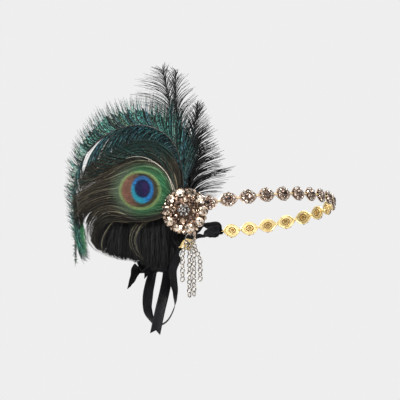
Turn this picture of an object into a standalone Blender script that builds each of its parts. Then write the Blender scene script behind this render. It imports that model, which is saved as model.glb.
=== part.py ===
"""Flapper headband: rhinestone chain, jewelled brooch with a chain tassel, feathers and satin ribbons.

Frame: +Z up, +X towards the forehead end of the band, and the brooch on the -Y side. The origin is the
middle of the head loop. All sizes below are millimetres, and every mesh is scaled to metres when it is made.
"""

import math

import bmesh
import bpy
from mathutils import Matrix, Vector

MM = 0.001

# Head loop: an oval the size of a head, turned in plan and tilted with the forehead end up
HEAD_LENGTH = 205.0
HEAD_WIDTH = 154.0
PLAN_TURN = math.radians(45.0)
BAND_TILT = math.radians(10.2)
CHAIN_START = math.radians(248.5)
CHAIN_LINKS = 18

# Band links
LINK_PITCH = 19.65
TIP_GAP = 1.45
PLATE_LENGTH = LINK_PITCH - TIP_GAP
PLATE_HEIGHT = 13.2
PLATE_THICK = 0.7
PLATE_POWER = 1.6
PLATE_SIDES = 16
RIM_RISE = 1.0
RIM_LENGTH = 10.4
RIM_HEIGHT = 8.2
CUP_RADIUS = 1.7
CUP_DEPTH = 1.1
CLUSTER_RADIUS = 7.4
PETAL_DIP = 0.9
CLUSTER_EDGE = 1.0
STONE_RADIUS = 3.3
STONE_BASE = 1.2
STONE_CROWN = 1.6
TABLE_SHARE = 0.6
EYELET_INSET = 1.6
EYELET_RADIUS = 1.1
RING_LEVEL = 0.0
RING_RADIUS = 2.2
RING_WIRE = 0.38

# Brooch, turned a little to the left; its own axes are across, up and out
BROOCH_CENTRE = Vector((-58.9, -90.0, -15.1))
BROOCH_TURN = math.radians(12.0)
BROOCH_RADIUS = 23.2
BROOCH_EDGE = 2.5
LOBE_DIP = 2.4
DOME_RADIUS = 13.5
DOME_RISE = 3.0
CROWN_RADIUS = 7.0
CROWN_RISE = 1.6
OUTER_STONES = 10
OUTER_STONE_RADIUS = 4.2
OUTER_STONE_START = math.radians(-75.0)
OUTER_STONE_LEAN = math.radians(18.0)
INNER_STONES = 8
INNER_STONE_RADIUS = 2.5
INNER_STONE_LEAN = math.radians(12.0)
CENTRE_STONE_RADIUS = 4.6
STONE_ROOT = 2.2
CLAW_HEIGHT = 1.0
LUG_WIRE = 0.5
LUG_EMBED = 0.5

# The chain's short end, its hole placed from the brooch's centre: across, up, out
END_LINK_HOLE = Vector((9.2, -30.0, 1.0))
END_LINK_SLOPE = math.radians(18.0)
END_LUG_HALF_WIDTH = 3.0

# Tassel
TASSEL_RING_RADIUS = 4.6
TASSEL_RING_WIRE = 0.45
TASSEL_ACROSS = 5.4
TASSEL_OUT = 5.2
TASSEL_LUG_RADIUS = 1.9
TASSEL_LUG_DROP = 22.3
CABLE_PITCH = 4.12
CABLE_WIRE = 0.4
CABLE_HALF_WIDTH = 1.8
CABLE_WELD = 0.26
CABLE_SLACK = 0.25
CABLE_SPLAY = 0.42
# Each strand: its place round the ring in degrees, where it hangs across and out, and its number of links
STRANDS = (
    (-140.0, -1.4, 1.9, 10),
    (-112.0, 5.0, -0.2, 13),
    (-68.0, 9.8, 1.9, 13),
    (-40.0, 15.4, -0.7, 10),
)

# Feathers lie behind the brooch, one layer behind the next, bent back round the head
FEATHER_THICK = 2.5
FEATHER_EDGE = 0.8
FEATHER_GAP = 0.35
FEATHER_BEND = 700.0
NOTCH_SHARE = 0.82

# Each spine's points are across and up, as shares of the feather's span, and each row of a blade is
# the place along the spine and the width on its left and right side as shares of the span
EYE_SPAN = 100.0
EYE_SPINE = (
    (-0.03, 0.04),
    (-0.14, 0.13),
    (-0.24, 0.19),
    (-0.43, 0.24),
    (-0.63, 0.27),
    (-0.83, 0.22),
    (-0.97, 0.12),
)
EYE_BLADE = (
    (0.00, 0.02, 0.02),
    (0.18, 0.06, 0.08),
    (0.32, 0.20, 0.24),
    (0.48, 0.26, 0.33),
    (0.64, 0.27, 0.33),
    (0.80, 0.23, 0.25),
    (0.92, 0.15, 0.14),
    (1.00, 0.03, 0.03),
)
TEAL_SPAN = 120.0
TEAL_SPINE = (
    (-0.01, 0.04),
    (-0.03, 0.30),
    (-0.06, 0.50),
    (-0.18, 0.64),
    (-0.36, 0.72),
    (-0.58, 0.69),
    (-0.77, 0.56),
    (-0.88, 0.38),
    (-0.91, 0.15),
    (-0.90, -0.03),
    (-0.90, -0.22),
    (-0.90, -0.39),
)
TEAL_BLADE = (
    (0.00, 0.02, 0.02),
    (0.11, 0.09, 0.03),
    (0.20, 0.17, 0.08),
    (0.28, 0.20, 0.20),
    (0.37, 0.22, 0.30),
    (0.47, 0.22, 0.23),
    (0.57, 0.20, 0.15),
    (0.67, 0.17, 0.08),
    (0.77, 0.13, 0.06),
    (0.85, 0.10, 0.06),
    (0.93, 0.07, 0.05),
    (1.00, 0.02, 0.02),
)
TALL_SPAN = 140.0
TALL_SPINE = ((-0.02, 0.04), (-0.07, 0.22), (-0.13, 0.50), (-0.17, 0.77), (-0.20, 0.99))
TALL_BLADE = (
    (0.00, 0.015, 0.015),
    (0.20, 0.05, 0.07),
    (0.40, 0.12, 0.15),
    (0.60, 0.14, 0.17),
    (0.75, 0.15, 0.16),
    (0.90, 0.14, 0.13),
    (1.00, 0.03, 0.04),
)
SIDE_SPAN = 140.0
SIDE_SPINE = ((-0.02, 0.04), (0.01, 0.29), (0.04, 0.55), (0.08, 0.72))
SIDE_BLADE = (
    (0.00, 0.015, 0.015),
    (0.22, 0.04, 0.18),
    (0.42, 0.06, 0.22),
    (0.65, 0.07, 0.17),
    (0.85, 0.06, 0.10),
    (1.00, 0.02, 0.03),
)
PAD_SPAN = 100.0
PAD_SPINE = ((-0.03, 0.00), (-0.12, -0.01), (-0.24, -0.02), (-0.53, -0.04), (-0.80, -0.05), (-1.00, -0.12))
PAD_BLADE = (
    (0.00, 0.03, 0.03),
    (0.12, 0.05, 0.04),
    (0.22, 0.50, 0.05),
    (0.33, 0.53, 0.06),
    (0.50, 0.50, 0.06),
    (0.70, 0.45, 0.06),
    (0.85, 0.36, 0.05),
    (1.00, 0.20, 0.02),
)

# Satin ribbon
RIBBON_WIDTH = 10.0
RIBBON_THICK = 1.0
GATHERED = 0.2
KNOT_CENTRE = Vector((-85.6, -45.0, -62.6))
KNOT_SIZE = Vector((16.0, 9.6, 9.2))
SEAT_GAP = 0.3
SWALLOW_CUT = 4.0
RIBBON_STEP = 9.0

# Places on the knot, as shares of its half sizes, where the ribbons leave and reach it
KNOT_TOP = (0.1, -0.1, 1.0)
KNOT_LOW = (-0.72, 0.0, -1.0)
KNOT_BACK_RIGHT = (-0.2, 1.0, 0.0)
KNOT_BACK_LEFT = (-0.75, 1.0, 0.0)

# Ribbon routes: each row is a point, the direction across the ribbon and its share of the full width.
# Rows at a ring start with their level above the middle of the ring.
NEAR_FROM_KNOT = (
    ((0.0, 0.0, 0.0), (1.0, 0.0, 0.0), 0.8),
    ((3.0, -10.0, 8.0), (0.6, 0.0, 0.8), 0.9),
    ((11.5, -28.0, 14.0), (0.1, 0.0, 1.0), 0.9),
)
NEAR_AT_RING = (
    (8.0, (-2.0, 5.0, 0.0), (0.0, -0.6, 0.8), 0.8),
    (4.6, (-0.6, 0.4, 0.0), (0.0, -1.0, 0.2), 0.45),
    (0.0, (0.0, 0.0, 0.0), (0.0, -1.0, 0.0), GATHERED),
    (-4.8, (-0.8, 0.6, 0.0), (0.3, -1.0, 0.0), 0.45),
    (-11.0, (-3.6, 4.0, 0.0), (1.0, -0.4, 0.0), 0.75),
)
NEAR_LOOP = (
    ((-71.2, -78.0, -70.0), (1.0, -0.2, 0.0), 0.8),
    ((-70.4, -66.0, -80.0), (1.0, -0.8, 0.0), 0.8),
    ((-69.1, -55.0, -91.0), (0.4, -1.0, 0.0), 0.9),
    ((-70.2, -48.0, -103.0), (0.0, -1.0, 0.0), 1.0),
    ((-76.0, -43.5, -114.0), (0.0, -1.0, 0.0), 1.0),
    ((-83.5, -42.5, -118.6), (0.0, -1.0, 0.0), 1.0),
    ((-91.2, -42.5, -114.5), (0.4, -1.0, 0.2), 1.0),
    ((-96.2, -44.0, -103.5), (1.0, -0.6, 0.0), 1.0),
    ((-95.9, -45.0, -90.0), (1.0, -0.1, 0.0), 1.0),
    ((-94.0, -45.3, -79.0), (1.0, 0.0, 0.0), 0.95),
)
NEAR_END_SHARE = 0.62
FAR_OUT = (
    ((-86.5, -22.0, -56.0), (0.0, 0.0, 1.0), 1.0),
    ((-83.0, 8.0, -47.0), (0.0, 0.0, 1.0), 1.0),
    ((-73.0, 36.0, -33.0), (0.0, 0.0, 1.0), 1.0),
    ((-57.5, 60.0, -19.5), (0.0, 0.2, 1.0), 0.9),
    ((-43.1, 70.0, -11.6), (0.0, 0.8, 0.6), 0.9),
    ((-32.9, 74.0, -10.9), (0.0, 1.0, 0.2), 0.8),
)
FAR_AT_RING = (
    (-4.6, (-3.0, -0.5, 0.0), (0.0, 1.0, 0.0), 0.5),
    (0.0, (0.0, 0.0, 0.0), (0.0, 1.0, 0.0), GATHERED),
    (4.6, (-3.0, -0.5, 0.0), (0.0, 1.0, 0.0), 0.5),
)
FAR_RETURN = (
    ((-32.9, 75.5, 5.5), (0.0, 1.0, -0.2), 0.8),
    ((-42.1, 75.0, 1.5), (0.0, 1.0, -0.4), 0.8),
    ((-49.5, 73.0, -5.6), (0.0, 0.8, -0.6), 0.8),
    ((-60.5, 65.5, -16.5), (0.0, 0.2, -1.0), 0.9),
    ((-78.0, 38.0, -31.0), (0.0, 0.0, -1.0), 1.0),
    ((-88.0, 10.0, -45.0), (0.0, 0.0, -1.0), 1.0),
    ((-92.0, -22.0, -55.0), (0.0, 0.0, -1.0), 1.0),
)
FAR_END_SHARE = 0.8
MAIN_TAIL_ROOT = (
    ((7.6, 0.0, 7.6), (1.0, 0.0, 0.0), 0.9),
    ((9.2, 0.0, -3.0), (1.0, 0.0, 0.0), 1.0),
)
MAIN_TAIL_FALL = (
    ((-79.2, -43.0, -84.0), (1.0, 0.0, 0.0), 1.0),
    ((-84.2, -50.0, -107.0), (1.0, 0.0, 0.0), 1.0),
    ((-88.6, -54.0, -129.5), (1.0, 0.0, 0.0), 1.0),
)
POINTED_TAIL_ROOT = (
    ((-1.0, 2.2, 0.4), (0.0, 0.0, 1.0), 0.5),
    ((-5.0, 2.8, 1.8), (0.2, 0.0, 1.0), 0.75),
    ((-10.8, 3.0, 1.6), (1.0, 0.0, 1.0), 0.8),
)
POINTED_TAIL_FALL = (
    ((-108.4, -41.5, -64.5), (1.0, 0.0, -0.6), 0.8),
    ((-110.8, -41.5, -72.0), (1.0, 0.0, -0.4), 0.7),
    ((-114.2, -41.5, -82.5), (1.0, 0.0, -0.4), 0.5),
)
NOTCHED_TAIL = (
    ((-1.8, -1.6, -1.2), (0.7, 0.0, -0.7), 0.5),
    ((-4.2, -1.6, -4.0), (0.7, 0.0, -0.7), 0.8),
    ((-8.4, -1.6, -8.6), (0.7, 0.0, -0.7), 0.8),
)

ACROSS_X = Vector((1.0, 0.0, 0.0))
ACROSS_Y = Vector((0.0, 1.0, 0.0))
ACROSS_Z = Vector((0.0, 0.0, 1.0))


def clear_scene():
    for thing in list(bpy.data.objects):
        bpy.data.objects.remove(thing, do_unlink=True)


def material(name, colour, roughness, metallic):
    made = bpy.data.materials.new(name)
    made.use_nodes = True
    shader = made.node_tree.nodes["Principled BSDF"]
    shader.inputs["Base Color"].default_value = (*colour, 1.0)
    shader.inputs["Roughness"].default_value = roughness
    shader.inputs["Metallic"].default_value = metallic
    return made


def finish_mesh(bm, name):
    """Turns a bmesh in millimetres into a mesh in metres whose faces point out."""
    bmesh.ops.recalc_face_normals(bm, faces=bm.faces)
    bmesh.ops.scale(bm, vec=(MM, MM, MM), verts=bm.verts)
    mesh = bpy.data.meshes.new(name)
    bm.to_mesh(mesh)
    bm.free()
    return mesh


def add_object(name, mesh, finish, place=None):
    made = bpy.data.objects.new(name, mesh)
    if not mesh.materials:
        mesh.materials.append(finish)
    bpy.context.scene.collection.objects.link(made)
    if place is not None:
        made.matrix_world = place
    return made


def combine(mesh, tool, operation):
    """Returns the mesh that a Boolean of two meshes leaves."""
    base = bpy.data.objects.new("base", mesh)
    cutter = bpy.data.objects.new("cutter", tool)
    for thing in (base, cutter):
        bpy.context.scene.collection.objects.link(thing)
    step = base.modifiers.new("step", "BOOLEAN")
    step.operation = operation
    step.solver = "EXACT"
    step.object = cutter
    bpy.context.view_layer.update()
    shaped = base.evaluated_get(bpy.context.evaluated_depsgraph_get())
    result = bpy.data.meshes.new_from_object(shaped)
    for thing in (base, cutter):
        bpy.data.objects.remove(thing, do_unlink=True)
    return result


def add_ring(bm, points):
    return [bm.verts.new(p) for p in points]


def bridge(bm, first, second):
    """Joins two closed rings of points, the second of the same count or of half as many."""
    count = len(first)
    if len(second) == count:
        for i in range(count):
            j = (i + 1) % count
            bm.faces.new((first[i], first[j], second[j], second[i]))
        return
    half = len(second)
    for i in range(half):
        j = (i + 1) % half
        a, b, c = first[2 * i], first[2 * i + 1], first[(2 * i + 2) % count]
        bm.faces.new((a, b, second[i]))
        bm.faces.new((b, c, second[j], second[i]))


def circle(radius_x, radius_y, height, sides, start=0.0):
    turn = 2.0 * math.pi / sides
    return [
        Vector((radius_x * math.cos(start + i * turn), radius_y * math.sin(start + i * turn), height))
        for i in range(sides)
    ]


def add_oval_ring(bm, centre, along, across, half_long, half_wide, wire, sides=10, wire_sides=5):
    """A closed ring of wire with its long axis along one direction and its short axis across it."""
    along = along.normalized()
    across = (across - along * across.dot(along)).normalized()
    axis = along.cross(across)
    rings = []
    for i in range(sides):
        turn = 2.0 * math.pi * i / sides
        middle = centre + along * (half_long * math.cos(turn)) + across * (half_wide * math.sin(turn))
        out = (along * (half_wide * math.cos(turn)) + across * (half_long * math.sin(turn))).normalized()
        ring = []
        for k in range(wire_sides):
            spin = 2.0 * math.pi * k / wire_sides
            spot = middle + out * (wire * math.cos(spin)) + axis * (wire * math.sin(spin))
            ring.append(bm.verts.new(spot))
        rings.append(ring)
    for i in range(sides):
        bridge(bm, rings[i], rings[(i + 1) % sides])


def smooth_point(points, place):
    """A point on the smooth curve through the points; place runs from 0 to the number of spans."""
    spans = len(points) - 1
    i = min(int(place), spans - 1)
    t = place - i
    before = points[i - 1] if i > 0 else points[0] * 2.0 - points[1]
    after = points[i + 2] if i + 2 <= spans else points[spans] * 2.0 - points[spans - 1]
    p, q = points[i], points[i + 1]
    return 0.5 * (
        2.0 * p + (q - before) * t + (2.0 * before - 5.0 * p + 4.0 * q - after) * t**2
        + (3.0 * p - before - 3.0 * q + after) * t**3
    )


def read_table(rows, place):
    """Reads the columns of a table between its rows, which start with a place from 0 to 1."""
    for low, high in zip(rows, rows[1:]):
        if place <= high[0]:
            share = (place - low[0]) / (high[0] - low[0])
            return [a + (b - a) * share for a, b in zip(low[1:], high[1:])]
    return list(rows[-1][1:])


# Head loop


def loop_point(turn):
    x, y = 0.5 * HEAD_LENGTH * math.cos(turn), 0.5 * HEAD_WIDTH * math.sin(turn)
    plan_x = x * math.cos(PLAN_TURN) - y * math.sin(PLAN_TURN)
    plan_y = x * math.sin(PLAN_TURN) + y * math.cos(PLAN_TURN)
    return Vector((plan_x * math.cos(BAND_TILT), plan_y, plan_x * math.sin(BAND_TILT)))


LOOP_UP = Vector((-math.sin(BAND_TILT), 0.0, math.cos(BAND_TILT)))


def chain_joints():
    """The places where one link's ring holds the next, each one pitch from the last."""
    turn = CHAIN_START - PLAN_TURN
    joints = [loop_point(turn)]
    for _ in range(CHAIN_LINKS):
        low, high = turn, turn + 3.0 * LINK_PITCH / HEAD_WIDTH
        for _ in range(40):
            middle = 0.5 * (low + high)
            if (loop_point(middle) - joints[-1]).length < LINK_PITCH:
                low = middle
            else:
                high = middle
        turn = low
        joints.append(loop_point(turn))
    return joints


def link_frame(joint, along, up):
    """A link's own axes: along the chain, up the plate, and out of its jewelled face."""
    along = along.normalized()
    up = (up - along * up.dot(along)).normalized()
    out = along.cross(up)
    place = Matrix((along, up, out)).transposed().to_4x4()
    place.translation = joint
    return place


def marquise(length, height, level):
    """A pointed oval with its points on the long axis."""
    points = []
    for i in range(PLATE_SIDES):
        turn = 2.0 * math.pi * i / PLATE_SIDES
        x = math.cos(turn)
        rise = 1.0 - abs(x) ** PLATE_POWER
        side = 1 if math.sin(turn) >= 0 else -1
        points.append(Vector((0.5 * length * x, 0.5 * height * rise * side, level)))
    return points


def link_mesh(finish):
    """A link about the hole that the last link's ring passes through."""
    middle = Vector((0.5 * PLATE_LENGTH - EYELET_INSET, 0.0, 0.0))
    half = PLATE_SIDES // 2
    back = -PLATE_THICK
    edge = CLUSTER_EDGE
    petals = []
    for i in range(PLATE_SIDES):
        turn = 2.0 * math.pi * i / PLATE_SIDES
        radius = CLUSTER_RADIUS - (PETAL_DIP if i % 2 == 0 else 0.0)
        petals.append(Vector((radius * math.cos(turn), radius * math.sin(turn), edge)))
    bm = bmesh.new()
    table = STONE_RADIUS * TABLE_SHARE
    levels = [
        circle(CUP_RADIUS, CUP_RADIUS, back - RIM_RISE + CUP_DEPTH, half),
        circle(0.5 * RIM_LENGTH, 0.5 * RIM_HEIGHT, back - RIM_RISE, half),
        marquise(PLATE_LENGTH, PLATE_HEIGHT, back),
        marquise(PLATE_LENGTH, PLATE_HEIGHT, 0.0),
        petals,
        circle(STONE_RADIUS, STONE_RADIUS, edge + STONE_BASE, half),
        circle(table, table, edge + STONE_BASE + STONE_CROWN, half),
    ]
    rings = [add_ring(bm, [p + middle for p in level]) for level in levels]
    bm.faces.new(rings[0])
    for first, second in zip(rings, rings[1:]):
        if len(first) < len(second):
            first, second = second, first
        bridge(bm, first, second)
    bm.faces.new(rings[-1])
    plate = finish_mesh(bm, "plate")
    bm = bmesh.new()
    bore = [
        add_ring(bm, circle(EYELET_RADIUS, EYELET_RADIUS, level, 6))
        for level in (back - RIM_RISE - 1.0, edge + 1.0)
    ]
    bm.faces.new(bore[0])
    bridge(bm, bore[0], bore[1])
    bm.faces.new(bore[1])
    plate = combine(plate, finish_mesh(bm, "bore"), "DIFFERENCE")
    bm = bmesh.new()
    ring_middle = Vector((LINK_PITCH - RING_RADIUS, 0.0, RING_LEVEL))
    add_oval_ring(bm, ring_middle, ACROSS_X, ACROSS_Z, RING_RADIUS, RING_RADIUS, RING_WIRE)
    whole = combine(plate, finish_mesh(bm, "ring"), "UNION")
    whole.name = "band_link"
    whole.materials.clear()
    whole.materials.append(finish)
    return whole


def in_metres(place):
    scaled = place.copy()
    scaled.translation = place.translation * MM
    return scaled


def band(finish):
    joints = chain_joints()
    shared = link_mesh(finish)
    for i, (here, there) in enumerate(zip(joints, joints[1:])):
        place = link_frame(here, there - here, LOOP_UP)
        add_object(f"band_link_{i:02d}", shared, finish, in_metres(place))
    end_place = end_link_place()
    add_object("end_link", shared, finish, in_metres(end_place))
    return joints


# Brooch axes

ACROSS = Vector((math.cos(BROOCH_TURN), -math.sin(BROOCH_TURN), 0.0))
UP = Vector((0.0, 0.0, 1.0))
OUT = ACROSS.cross(UP)


def brooch_point(across, up, out):
    return BROOCH_CENTRE + ACROSS * across + UP * up + OUT * out


def end_link_place():
    """The end link points left and down, its jewelled face turned away."""
    hole = brooch_point(*END_LINK_HOLE)
    along = -ACROSS * math.cos(END_LINK_SLOPE) - UP * math.sin(END_LINK_SLOPE)
    return link_frame(hole, along, UP)


def add_stone(bm, centre, lean_to, lean, radius):
    """A round cut stone with eight facets and a table, rooted in the setting."""
    axis = (Vector((0.0, 0.0, 1.0)) * math.cos(lean) + lean_to * math.sin(lean)).normalized()
    side = lean_to if lean_to.length > 0.5 else Vector((1.0, 0.0, 0.0))
    side = (side - axis * side.dot(axis)).normalized()
    other = axis.cross(side)
    rings = []
    table_level = CLAW_HEIGHT + 0.42 * radius
    for share, level in ((1.0, -STONE_ROOT), (1.0, CLAW_HEIGHT), (TABLE_SHARE, table_level)):
        points = circle(radius * share, radius * share, level, 8)
        rings.append(add_ring(bm, [centre + side * p.x + other * p.y + axis * p.z for p in points]))
    bm.faces.new(rings[0])
    bridge(bm, rings[0], rings[1])
    bridge(bm, rings[1], rings[2])
    bm.faces.new(rings[2])


def brooch(finish, chain_start, chain_along):
    """The setting with its stones and the three lugs, in its own axes: across, up, out."""
    bm = bmesh.new()
    count = 2 * OUTER_STONES
    lobes = []
    for i in range(count):
        turn = OUTER_STONE_START + math.pi * i / OUTER_STONES
        radius = BROOCH_RADIUS - (LOBE_DIP if i % 2 else 0.0)
        lobes.append(Vector((radius * math.cos(turn), radius * math.sin(turn), 0.0)))
    dome_top = BROOCH_EDGE + DOME_RISE
    crown_top = dome_top + CROWN_RISE
    levels = [
        lobes,
        [p + Vector((0.0, 0.0, BROOCH_EDGE)) for p in lobes],
        circle(DOME_RADIUS, DOME_RADIUS, dome_top, count, OUTER_STONE_START),
        circle(CROWN_RADIUS, CROWN_RADIUS, crown_top, count // 2, OUTER_STONE_START),
    ]
    rings = [add_ring(bm, level) for level in levels]
    bm.faces.new(rings[0])
    for first, second in zip(rings, rings[1:]):
        bridge(bm, first, second)
    bm.faces.new(rings[-1])
    setting = finish_mesh(bm, "setting")

    bm = bmesh.new()
    outer_place = 0.5 * (BROOCH_RADIUS + DOME_RADIUS)
    outer_out = 0.5 * (BROOCH_EDGE + dome_top)
    for i in range(OUTER_STONES):
        turn = OUTER_STONE_START + 2.0 * math.pi * i / OUTER_STONES
        out = Vector((math.cos(turn), math.sin(turn), 0.0))
        centre = out * outer_place + Vector((0.0, 0.0, outer_out))
        add_stone(bm, centre, out, OUTER_STONE_LEAN, OUTER_STONE_RADIUS)
    inner_place = 0.5 * (DOME_RADIUS + CROWN_RADIUS)
    inner_out = 0.5 * (dome_top + crown_top)
    for i in range(INNER_STONES):
        turn = OUTER_STONE_START + 2.0 * math.pi * (i + 0.5) / INNER_STONES
        out = Vector((math.cos(turn), math.sin(turn), 0.0))
        centre = out * inner_place + Vector((0.0, 0.0, inner_out))
        add_stone(bm, centre, out, INNER_STONE_LEAN, INNER_STONE_RADIUS)
    add_stone(bm, Vector((0.0, 0.0, crown_top)), Vector((0.0, 0.0, 0.0)), 0.0, CENTRE_STONE_RADIUS)
    jewelled = combine(setting, finish_mesh(bm, "stones"), "UNION")

    bm = bmesh.new()
    turn_in = Matrix((ACROSS, UP, OUT))
    hole = turn_in @ (chain_start - BROOCH_CENTRE)
    along = turn_in @ chain_along.normalized()
    facing = along.cross(turn_in @ LOOP_UP).normalized()
    reach = -hole.z / facing.z + LUG_EMBED
    add_oval_ring(bm, hole - along * reach, along, facing, reach, reach, LUG_WIRE)
    rim_at_end = math.sqrt(BROOCH_RADIUS**2 - END_LINK_HOLE.x**2) - LOBE_DIP
    half_long = 0.5 * (-END_LINK_HOLE.y - rim_at_end)
    end_middle = Vector((END_LINK_HOLE.x, END_LINK_HOLE.y + half_long, END_LINK_HOLE.z))
    half_long /= math.cos(math.pi / 10.0)
    add_oval_ring(bm, end_middle, ACROSS_Z, ACROSS_Y, END_LUG_HALF_WIDTH, half_long, LUG_WIRE)
    lug_middle = Vector((TASSEL_ACROSS, -TASSEL_LUG_DROP, TASSEL_OUT))
    add_oval_ring(bm, lug_middle, ACROSS_Y, ACROSS_Z, TASSEL_LUG_RADIUS, TASSEL_LUG_RADIUS, LUG_WIRE)
    whole = combine(jewelled, finish_mesh(bm, "lugs"), "UNION")
    whole.name = "brooch"
    whole.materials.clear()
    place = Matrix((ACROSS, UP, OUT)).transposed().to_4x4()
    place.translation = BROOCH_CENTRE
    add_object("brooch", whole, finish, in_metres(place))


# Tassel


def tassel_ring_centre():
    """The ring hangs in the brooch's lug with a small clearance."""
    top = TASSEL_LUG_DROP + TASSEL_LUG_RADIUS - LUG_WIRE - TASSEL_RING_WIRE - SEAT_GAP
    return Vector((TASSEL_ACROSS, -top - TASSEL_RING_RADIUS, TASSEL_OUT))


def tassel(finish):
    centre = tassel_ring_centre()
    bm = bmesh.new()
    ring_at = brooch_point(*centre)
    add_oval_ring(bm, ring_at, UP, ACROSS, TASSEL_RING_RADIUS, TASSEL_RING_RADIUS, TASSEL_RING_WIRE, 14, 5)
    add_object("tassel_ring", finish_mesh(bm, "tassel_ring"), finish)
    half_long = 0.5 * CABLE_PITCH + CABLE_WIRE - 0.5 * CABLE_WELD
    for number, (place, hang_across, hang_out, links) in enumerate(STRANDS, 1):
        turn = math.radians(place)
        clear = (TASSEL_RING_WIRE + CABLE_WIRE + CABLE_SLACK) / abs(math.sin(turn))
        above = clear - (CABLE_WIRE - 0.5 * CABLE_WELD)
        on_ring = Vector((math.cos(turn), math.sin(turn), 0.0)) * TASSEL_RING_RADIUS
        lean_out = max(-CABLE_SPLAY, min(CABLE_SPLAY, hang_out / CABLE_PITCH))
        first_down = Vector((0.0, -1.0, lean_out)).normalized()
        joint = centre + on_ring - first_down * above
        target = Vector((hang_across, 0.0, TASSEL_OUT + hang_out))
        sets = (bmesh.new(), bmesh.new())
        for i in range(links):
            side = max(-CABLE_SPLAY, min(CABLE_SPLAY, (target.x - joint.x) / CABLE_PITCH))
            away = max(-CABLE_SPLAY, min(CABLE_SPLAY, (target.z - joint.z) / CABLE_PITCH))
            down = Vector((side, -1.0, away)).normalized() if i else first_down
            middle = joint + down * (0.5 * CABLE_PITCH)
            wide = ACROSS_X if i % 2 else ACROSS_Z
            world_down = ACROSS * down.x + UP * down.y + OUT * down.z
            world_wide = ACROSS * wide.x + UP * wide.y + OUT * wide.z
            spot = brooch_point(*middle)
            shape = (half_long, CABLE_HALF_WIDTH, CABLE_WIRE)
            add_oval_ring(sets[i % 2], spot, world_down, world_wide, *shape)
            joint = joint + down * CABLE_PITCH
        meshes = [finish_mesh(bm, "links") for bm in sets]
        strand = combine(meshes[0], meshes[1], "UNION")
        name = f"tassel_chain_{number}"
        strand.name = name
        strand.materials.clear()
        add_object(name, strand, finish)


# Feathers


def add_blade_section(bm, left, middle, right, face, thick, edge):
    """Six points of one section: left, middle and right, on the front and on the back."""
    front = [left + face * (0.5 * edge), middle + face * (0.5 * thick), right + face * (0.5 * edge)]
    back = [left - face * (0.5 * edge), middle - face * (0.5 * thick), right - face * (0.5 * edge)]
    return [bm.verts.new(p) for p in front + back[::-1]]


def join_sections(bm, sections):
    """Closes a run of six-point sections into one body."""
    for first, second in zip(sections, sections[1:]):
        bridge(bm, first, second)
    for ends in (sections[0], sections[-1]):
        bm.faces.new((ends[0], ends[1], ends[4], ends[5]))
        bm.faces.new((ends[1], ends[2], ends[3], ends[4]))


def feather(name, span, spine, blade, layer, locks, lean, finish):
    """A blade of locks about a curved spine, bent back round the head with the layers it lies between."""
    points = [Vector((across * span, up * span, 0.0)) for across, up in spine]
    fine = [smooth_point(points, (len(points) - 1) * i / 400.0) for i in range(401)]
    lengths = [0.0]
    for a, b in zip(fine, fine[1:]):
        lengths.append(lengths[-1] + (b - a).length)
    depth = -(FEATHER_GAP + 0.5 * FEATHER_THICK) - layer * (FEATHER_GAP + FEATHER_THICK)
    bm = bmesh.new()
    sections = []
    stations = 2 * locks
    for j in range(stations + 1):
        place = j / stations
        i = min(range(401), key=lambda k: abs(lengths[k] - place * lengths[-1]))
        low, high = max(i - 6, 0), min(i + 6, 400)
        along = (fine[high] - fine[low]).normalized()
        normal = Vector((-along.y, along.x, 0.0))
        reach = 1.0 if j % 2 else NOTCH_SHARE
        left_width, right_width = read_table(blade, place)
        forward = math.tan(lean)
        flat = (
            fine[i] + (normal + along * forward) * (left_width * span * reach),
            fine[i],
            fine[i] + (along * forward - normal) * (right_width * span * reach),
        )
        bent = [brooch_point(p.x, p.y, depth - p.length_squared / (2.0 * FEATHER_BEND)) for p in flat]
        sections.append(add_blade_section(bm, *bent, OUT, FEATHER_THICK, FEATHER_EDGE))
    join_sections(bm, sections)
    bmesh.ops.triangulate(bm, faces=bm.faces)
    add_object(name, finish_mesh(bm, name), finish)


# Ribbons


def knot_point(across, out, up):
    """A point by the knot: shares of its half sizes from its centre."""
    half = 0.5 * KNOT_SIZE
    return KNOT_CENTRE + Vector((across * half.x, out * half.y, up * half.z))


def ribbon(name, route, finish, cut="square"):
    """A strip of ribbon; its route's rows are the point, the direction across it and its share of width."""
    points = [Vector(row[0]) for row in route]
    sides = [Vector(row[1]) for row in route]
    shares = [Vector((row[2], 0.0, 0.0)) for row in route]
    spans = len(points) - 1
    places = [0.0]
    for k in range(spans):
        steps = max(1, round((points[k + 1] - points[k]).length / RIBBON_STEP))
        places += [k + (i + 1) / steps for i in range(steps)]
    back_off = {"square": (0.0, 0.0, 0.0), "swallow": (0.0, 1.0, 0.0), "slant": (0.0, 0.5, 1.0)}[cut]
    bm = bmesh.new()
    sections = []
    for place in places:
        middle = smooth_point(points, place)
        before = smooth_point(points, max(place - 0.05, 0.0))
        after = smooth_point(points, min(place + 0.05, spans))
        along = (after - before).normalized()
        k = min(int(place), spans - 1)
        side = sides[k].lerp(sides[k + 1], place - k)
        side = (side - along * side.dot(along)).normalized()
        face = along.cross(side)
        half = 0.5 * RIBBON_WIDTH * shares[k].lerp(shares[k + 1], place - k).x
        cut_back = SWALLOW_CUT if place == spans else 0.0
        triple = [
            middle + side * (half * s) - along * (cut_back * share)
            for s, share in zip((-1.0, 0.0, 1.0), back_off)
        ]
        sections.append(add_blade_section(bm, *triple, face, RIBBON_THICK, RIBBON_THICK))
    join_sections(bm, sections)
    bmesh.ops.triangulate(bm, faces=bm.faces)
    add_object(name, finish_mesh(bm, name), finish)


def end_ring_middle(place):
    """The free space in a link's own ring, past its plate's tip."""
    tip = PLATE_LENGTH - EYELET_INSET
    return place @ Vector((0.5 * (tip + LINK_PITCH - RING_WIRE), 0.0, RING_LEVEL))


def shifted(start, rows):
    """Rows of a route whose points are offsets from a start."""
    return [(start + Vector(offset), across, share) for offset, across, share in rows]


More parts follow.
